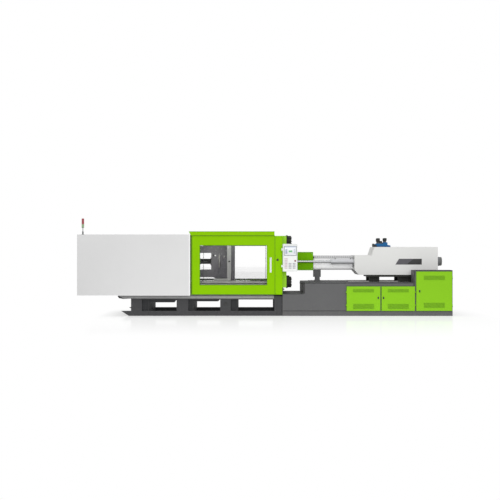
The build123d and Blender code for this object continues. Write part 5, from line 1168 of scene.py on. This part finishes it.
def dress_injection_bed():
    """Weld seams, ledges and base seam of the injection bed, and the carriage's rail screws."""
    for side, hand in SIDES:
        for place, left, right, low, high, reach, edge, look in (
            ("step_fold", 1.03, 1.072, 0.61, 0.905, 0.9045, 0.001, SEAM),
            ("ledge", 1.046, 2.188, 0.886, 0.908, 0.9045, 0.001, LEDGE),
            ("low_ledge", 0.466, 1.028, 0.592, 0.608, 0.9045, 0.001, LEDGE),
            ("base_seam", 0.466, 2.188, 0.1355, 0.147, 0.9025, 0.0008, SEAM),
        ):
            strip(f"bed_{place}_{hand}", (left, side * BED_FACE, low), (right, side * reach, high), edge,
                  "machine", look)
        places = grid(in_steps(2.36, 0.2, 12), (side * 0.33,), (0.938,))
        screws(f"rail_screws_{hand}", places, 0.009, 0.002, UP, "machine")


def dress_cabinets():
    """Louvre hoods in a painted-shade green with a dark sheet of painted shade behind their slots, latch
    plates and edge folds of the three cabinet doors, and the dark top caps.
    """
    face = CABINET_DOOR_FACE
    for body, left, right, top, patches, latch in (
        ("cabinet_left_door", 2.202, 3.123, 0.806, ((0.69, 4), (0.261, 6)), (3.063, 0.492)),
        ("cabinet_right_door", 3.151, 4.062, 0.806, ((0.69, 4), (0.261, 6)), (3.207, 0.492)),
        ("control_door", 4.096, 5.075, 1.211, ((1.04, 5), (0.292, 6)), (4.189, 0.674)),
    ):
        x = (left + right) / 2
        for number, (z, rows) in enumerate(patches):
            # Louvre hoods in a darker green that is painted shade
            louvre_hoods(f"{body}_louvres_{number}", x, z, rows, -1, face, DOOR_HOOD,
                         body, ("green_paint", louvre_green_painted_shade))
            half = rows * 0.012 + 0.006
            # Painted shade: a dark green sheet behind the slots stands for the shade inside the cabinet.
            plate(f"{body}_filter_{number}", (x - 0.29, face + 0.0032, z - half),
                  (x + 0.29, face + 0.0062, z + half), (0, 1, 0), ((0.01, 0.001),), 0,
                  body, ("black_plastic", shadow_green))
        border_strip(f"{body}_edge_fold", (left + 0.006, right - 0.006), (0.144, top - 0.006),
                     face - 0.0002, 0.005, 0.0015, body, GREEN_LINE)
        centre = (latch[0], face - 0.0008, latch[1])
        latch_plate = fresh_round(centre, 0.02, 0.0012, TO_OPERATOR)
        stretch(latch_plate, None, (1, 1, 1.75), centre)
        complete(latch_plate, f"{body}_latch_plate", body, BLACK)
    for name, corner, opposite in (
        ("control_cap", (4.031, -0.9075, 1.226), (5.087, -0.9045, 1.245)),
        ("control_post_left", (4.031, -0.9075, 0.15), (4.058, -0.9045, 1.224)),
        ("deck_edge_front", (2.192, -0.9045, 0.889), (4.026, -0.9003, 0.907)),
    ):
        strip(name, corner, opposite, 0.001, "machine", LEDGE)


# Injection unit


def dress_injection_unit():
    """Slot trays and vanes, hopper seat and screws of the injection housing."""
    for side, hand in SIDES:
        outward = (0, side, 0)
        plate(f"slot_tray_{hand}", (3.59, side * 0.455, 1.38), (4.34, side * 0.475, 1.562), outward,
              ((0.02, 0.001),), 0, "carriage", ("dark_grey_paint", slot_grey))
        vane = fresh_block((3.9, side * 0.4755, 1.393), (4.328, side * 0.4785, 1.55))
        slide_corners(vane, lambda place: place.x < 3.95 and place.z > 1.5, (0.2, 0, 0))
        soften(vane, 0.0006)
        complete(vane, f"slot_vane_{hand}", "carriage", ("grey_paint", seam_dark))
        places = grid((3.08, 3.6, 4.2, 4.72), (side * COVER_FACE,), (1.83,))
        places += grid((2.64, 3.2, 3.9, 4.72), (side * COVER_FACE,), (1.15,))
        screws(f"cover_screws_{hand}", places, 0.006, 0.003, outward, "carriage", COVER)
    open_ring("hopper_seat", (HOPPER_X, 0, 1.6415), 0.105, 0.04, 0.0024, UP, "carriage", SWITCH, 48)


def dress_cover_lid():
    """Service lid with two pressed grips on top of the injection housing."""
    plate("cover_lid", (3.66, -0.34, 1.8782), (4.62, 0.34, 1.8805), UP, ((0.018, 0.0012),), 0.0006,
          "carriage", COVER)
    for number, x in enumerate((3.76, 4.52)):
        plate(f"cover_lid_grip_{number}", (x - 0.022, -0.07, 1.8818), (x + 0.022, 0.07, 1.8838), UP,
              ((0.006, 0), (0.003, -0.0015)), 0.0005, "carriage", BLACK)
    places = grid((3.68, 3.99, 4.29, 4.6), (-0.33, 0.33), (1.8806,))
    screws("cover_lid_screws", places, 0.005, 0.003, UP, "carriage")


# Inside the cabinets


def dress_switchgear():
    """Labels, levers, terminal screws, cable ducts and the drawing pocket of the control cabinet."""
    front = SWITCH_FACE
    five_units = ((5, (0.16, 0, 0)),)
    for row, (low, high) in enumerate(((0.42, 0.66), (0.72, 0.92), (0.98, 1.13))):
        middle = (low + high) / 2
        plate(f"switch_labels_{row}", (4.18, front - 0.0016, middle - 0.022),
              (4.28, front, middle + 0.022), TO_OPERATOR, ((0.004, 0.0008),), 0.0003,
              "machine", ("grey_paint", key_grey), five_units)
        plate(f"switch_levers_{row}", (4.214, front - 0.0026, middle + 0.028),
              (4.246, front, middle + 0.046), TO_OPERATOR, ((0.004, -0.0012),), 0.0005,
              "machine", BLACK, five_units)
        poles = [x + pole for x in in_steps(4.23, 0.16, 5) for pole in (-0.036, 0, 0.036)]
        places = grid(poles, (front - 0.0002,), (low + 0.014, high - 0.014))
        screws(f"switch_terminals_{row}", places, 0.005, 0.0022, TO_OPERATOR, "machine")
    for number, z in enumerate((0.69, 0.95, 0.38)):
        plate(f"cable_duct_{number}", (4.16, -0.57, z - 0.022), (4.96, -0.5225, z + 0.022), TO_OPERATOR,
              ((0.003, 0.003),), 0.001, "machine", PALE_GREY)
        plate(f"cable_duct_fingers_{number}", (4.17, -0.566, z + 0.0225), (4.178, -0.527, z + 0.026), UP,
              ((0.001, 0.0006),), 0, "machine", PALE_GREY, ((56, (0.014, 0, 0)),))
    pocket = fresh_block((4.36, -0.927, 0.46), (4.82, -0.9, 0.72))
    step_faces(pocket, UP, (0.003, 0), (0.0005, -0.22))
    stepped(pocket, "drawing_pocket", (0, 1, 0), ((0.02, -0.002),), 0, "control_door", PALE_GREY)


def dress_tank():
    """Cleaning cover, level gauge, filler cap and lid screws of the oil tank."""
    face = TANK_FACE
    x, z = 2.75, 0.43
    disc("tank_cover", (x, face - 0.001, z), 0.17, 0.002, TO_OPERATOR,
         ((0.045, 0.0012), (0.03, -0.0016)), 0.0004, "machine", MOTOR, 48)
    turns = in_steps(0, math.pi / 6, 12)
    places = [(x + 0.152 * math.cos(turn), face - 0.0021, z + 0.152 * math.sin(turn)) for turn in turns]
    screws("tank_cover_screws", places, 0.008, 0.0022, TO_OPERATOR, "machine")
    plate("tank_level_gauge", (2.385, face - 0.004, 0.42), (2.425, face, 0.7), TO_OPERATOR,
          ((0.008, 0.0004), (0.001, -0.0024)), 0.0005, "machine", BLACK)
    plate("tank_level_oil", (2.396, face - 0.0028, 0.435), (2.414, face - 0.0021, 0.6), TO_OPERATOR,
          ((0.002, 0.0004),), 0, "machine", ("white_plastic", key_rose))
    disc("tank_filler_cap", (2.42, -0.36, 0.861), 0.045, 0.018, UP, ((0.006, 0.002), (0.012, -0.003)),
         0.001, "machine", BLACK, 30)
    places = grid((2.29, 2.68, 3.06), (-0.47, 0.18, 0.83), (0.8512,))
    screws("tank_lid_screws", places, 0.008, 0.008, UP, "machine")


def dress_pump():
    """Cooling fins, terminal box, foot bolts and plate of the pump's motor."""
    y, z = -0.15, 0.45
    fins = 36
    fin = fresh_block((3.48, y - 0.002, z + 0.18), (3.8, y + 0.002, z + 0.1935))
    step_faces(fin, UP, (0.0012, 0.0008))
    bpy.ops.object.mode_set(mode="EDIT")
    bpy.ops.mesh.select_all(action="SELECT")
    turn = 2 * math.pi * (fins - 1) / fins
    bpy.ops.mesh.spin(dupli=True, steps=fins - 1, angle=turn, center=(0, y, z), axis=(1, 0, 0))
    stop_editing()
    complete(fin, "pump_motor_fins", "machine", MOTOR)
    box = fresh_block((3.54, y - 0.07, z + 0.196), (3.7, y + 0.07, z + 0.262))
    step_faces(box, UP, (0.006, 0.004))
    stepped(box, "pump_terminal_box", TO_OPERATOR, ((0.014, 0.004),), 0.003, "machine", SWITCH)
    places = grid((3.56, 3.68), (y - 0.055, y + 0.055), (z + 0.266,))
    screws("pump_terminal_screws", places, 0.005, 0.005, UP, "machine")
    plate("pump_plate", (3.3, y - 0.1945, z - 0.03), (3.4, y - 0.185, z + 0.03), TO_OPERATOR,
          ((0.004, -0.0008),), 0, "machine", ZINC)
    places = grid((3.3, 3.66), (y - 0.16, y + 0.16), (0.1802,))
    screws("pump_foot_bolts", places, 0.012, 0.014, UP, "machine")


def dress_end_panel():
    """Pressed gland plate and screws on the control cabinet's end."""
    plate("end_panel", (5.0892, -0.86, 0.24), (5.0915, -0.55, 1.12), TO_RIGHT,
          ((0.02, 0.0008), (0.012, -0.0006)), 0, "machine", PANEL_GREY)
    places = grid((5.0916,), (-0.85, -0.56), (0.26, 0.54, 0.82, 1.1))
    screws("end_panel_screws", places, 0.006, 0.0018, TO_RIGHT, "machine")


def dress_deck():
    """Cable trunk, its lid screws and the joints between the plates of the injection bed's deck."""
    plate("cable_trunk", (1.25, 0.6, DECK_TOP), (3.95, 0.74, 0.918), UP, ((0.006, 0.003),), 0.001,
          "machine", PANEL_GREY)
    places = grid(in_steps(1.35, 0.25, 11), (0.615, 0.725), (0.9212,))
    screws("cable_trunk_screws", places, 0.006, 0.005, UP, "machine")
    for number, x in enumerate((1.62, 2.19, 3.13)):
        plate(f"deck_joint_{number}", (x - 0.004, -0.885, 0.9078), (x + 0.004, 0.59, 0.9092), UP,
              ((0.0015, -0.0004),), 0, "machine", SEAM)
    places = grid((1.2, 1.58, 1.66, 2.15, 2.23, 2.7, 3.09, 3.17), (-0.86, 0.86), (DECK_TOP,))
    screws("deck_screws", places, 0.007, 0.004, UP, "machine")


for dress in (
    dress_tie_bars, dress_platens, dress_barrel, dress_carriage, dress_manifold, dress_drive,
    dress_purge_guard, dress_rear, dress_roof, dress_clamp_bed, dress_beacon, dress_canopy,
    dress_doors, dress_guards, dress_panel, dress_injection_bed, dress_cabinets,
    dress_injection_unit, dress_switchgear, dress_tank, dress_pump, dress_deck, dress_ways,
    dress_end_panel, dress_cover_lid, dress_nodes,
):
    dress()

add_camera()
add_world()
add_area_lamp("front_box", (1.0, -18.0, 8.0), (0, 0, 1.2), (26.0, 14.0), 1800)
add_area_lamp("top_box", (0.0, -1.0, 12.0), (0, 0, 1.0), (16.0, 8.0), 500)
add_area_lamp("mould_area_lamp", (-1.2, -0.93, 2.08), (-1.2, -0.35, 1.2), (1.5, 0.1), 4.5)
add_floor()

bpy.context.scene.view_settings.view_transform = "Standard"
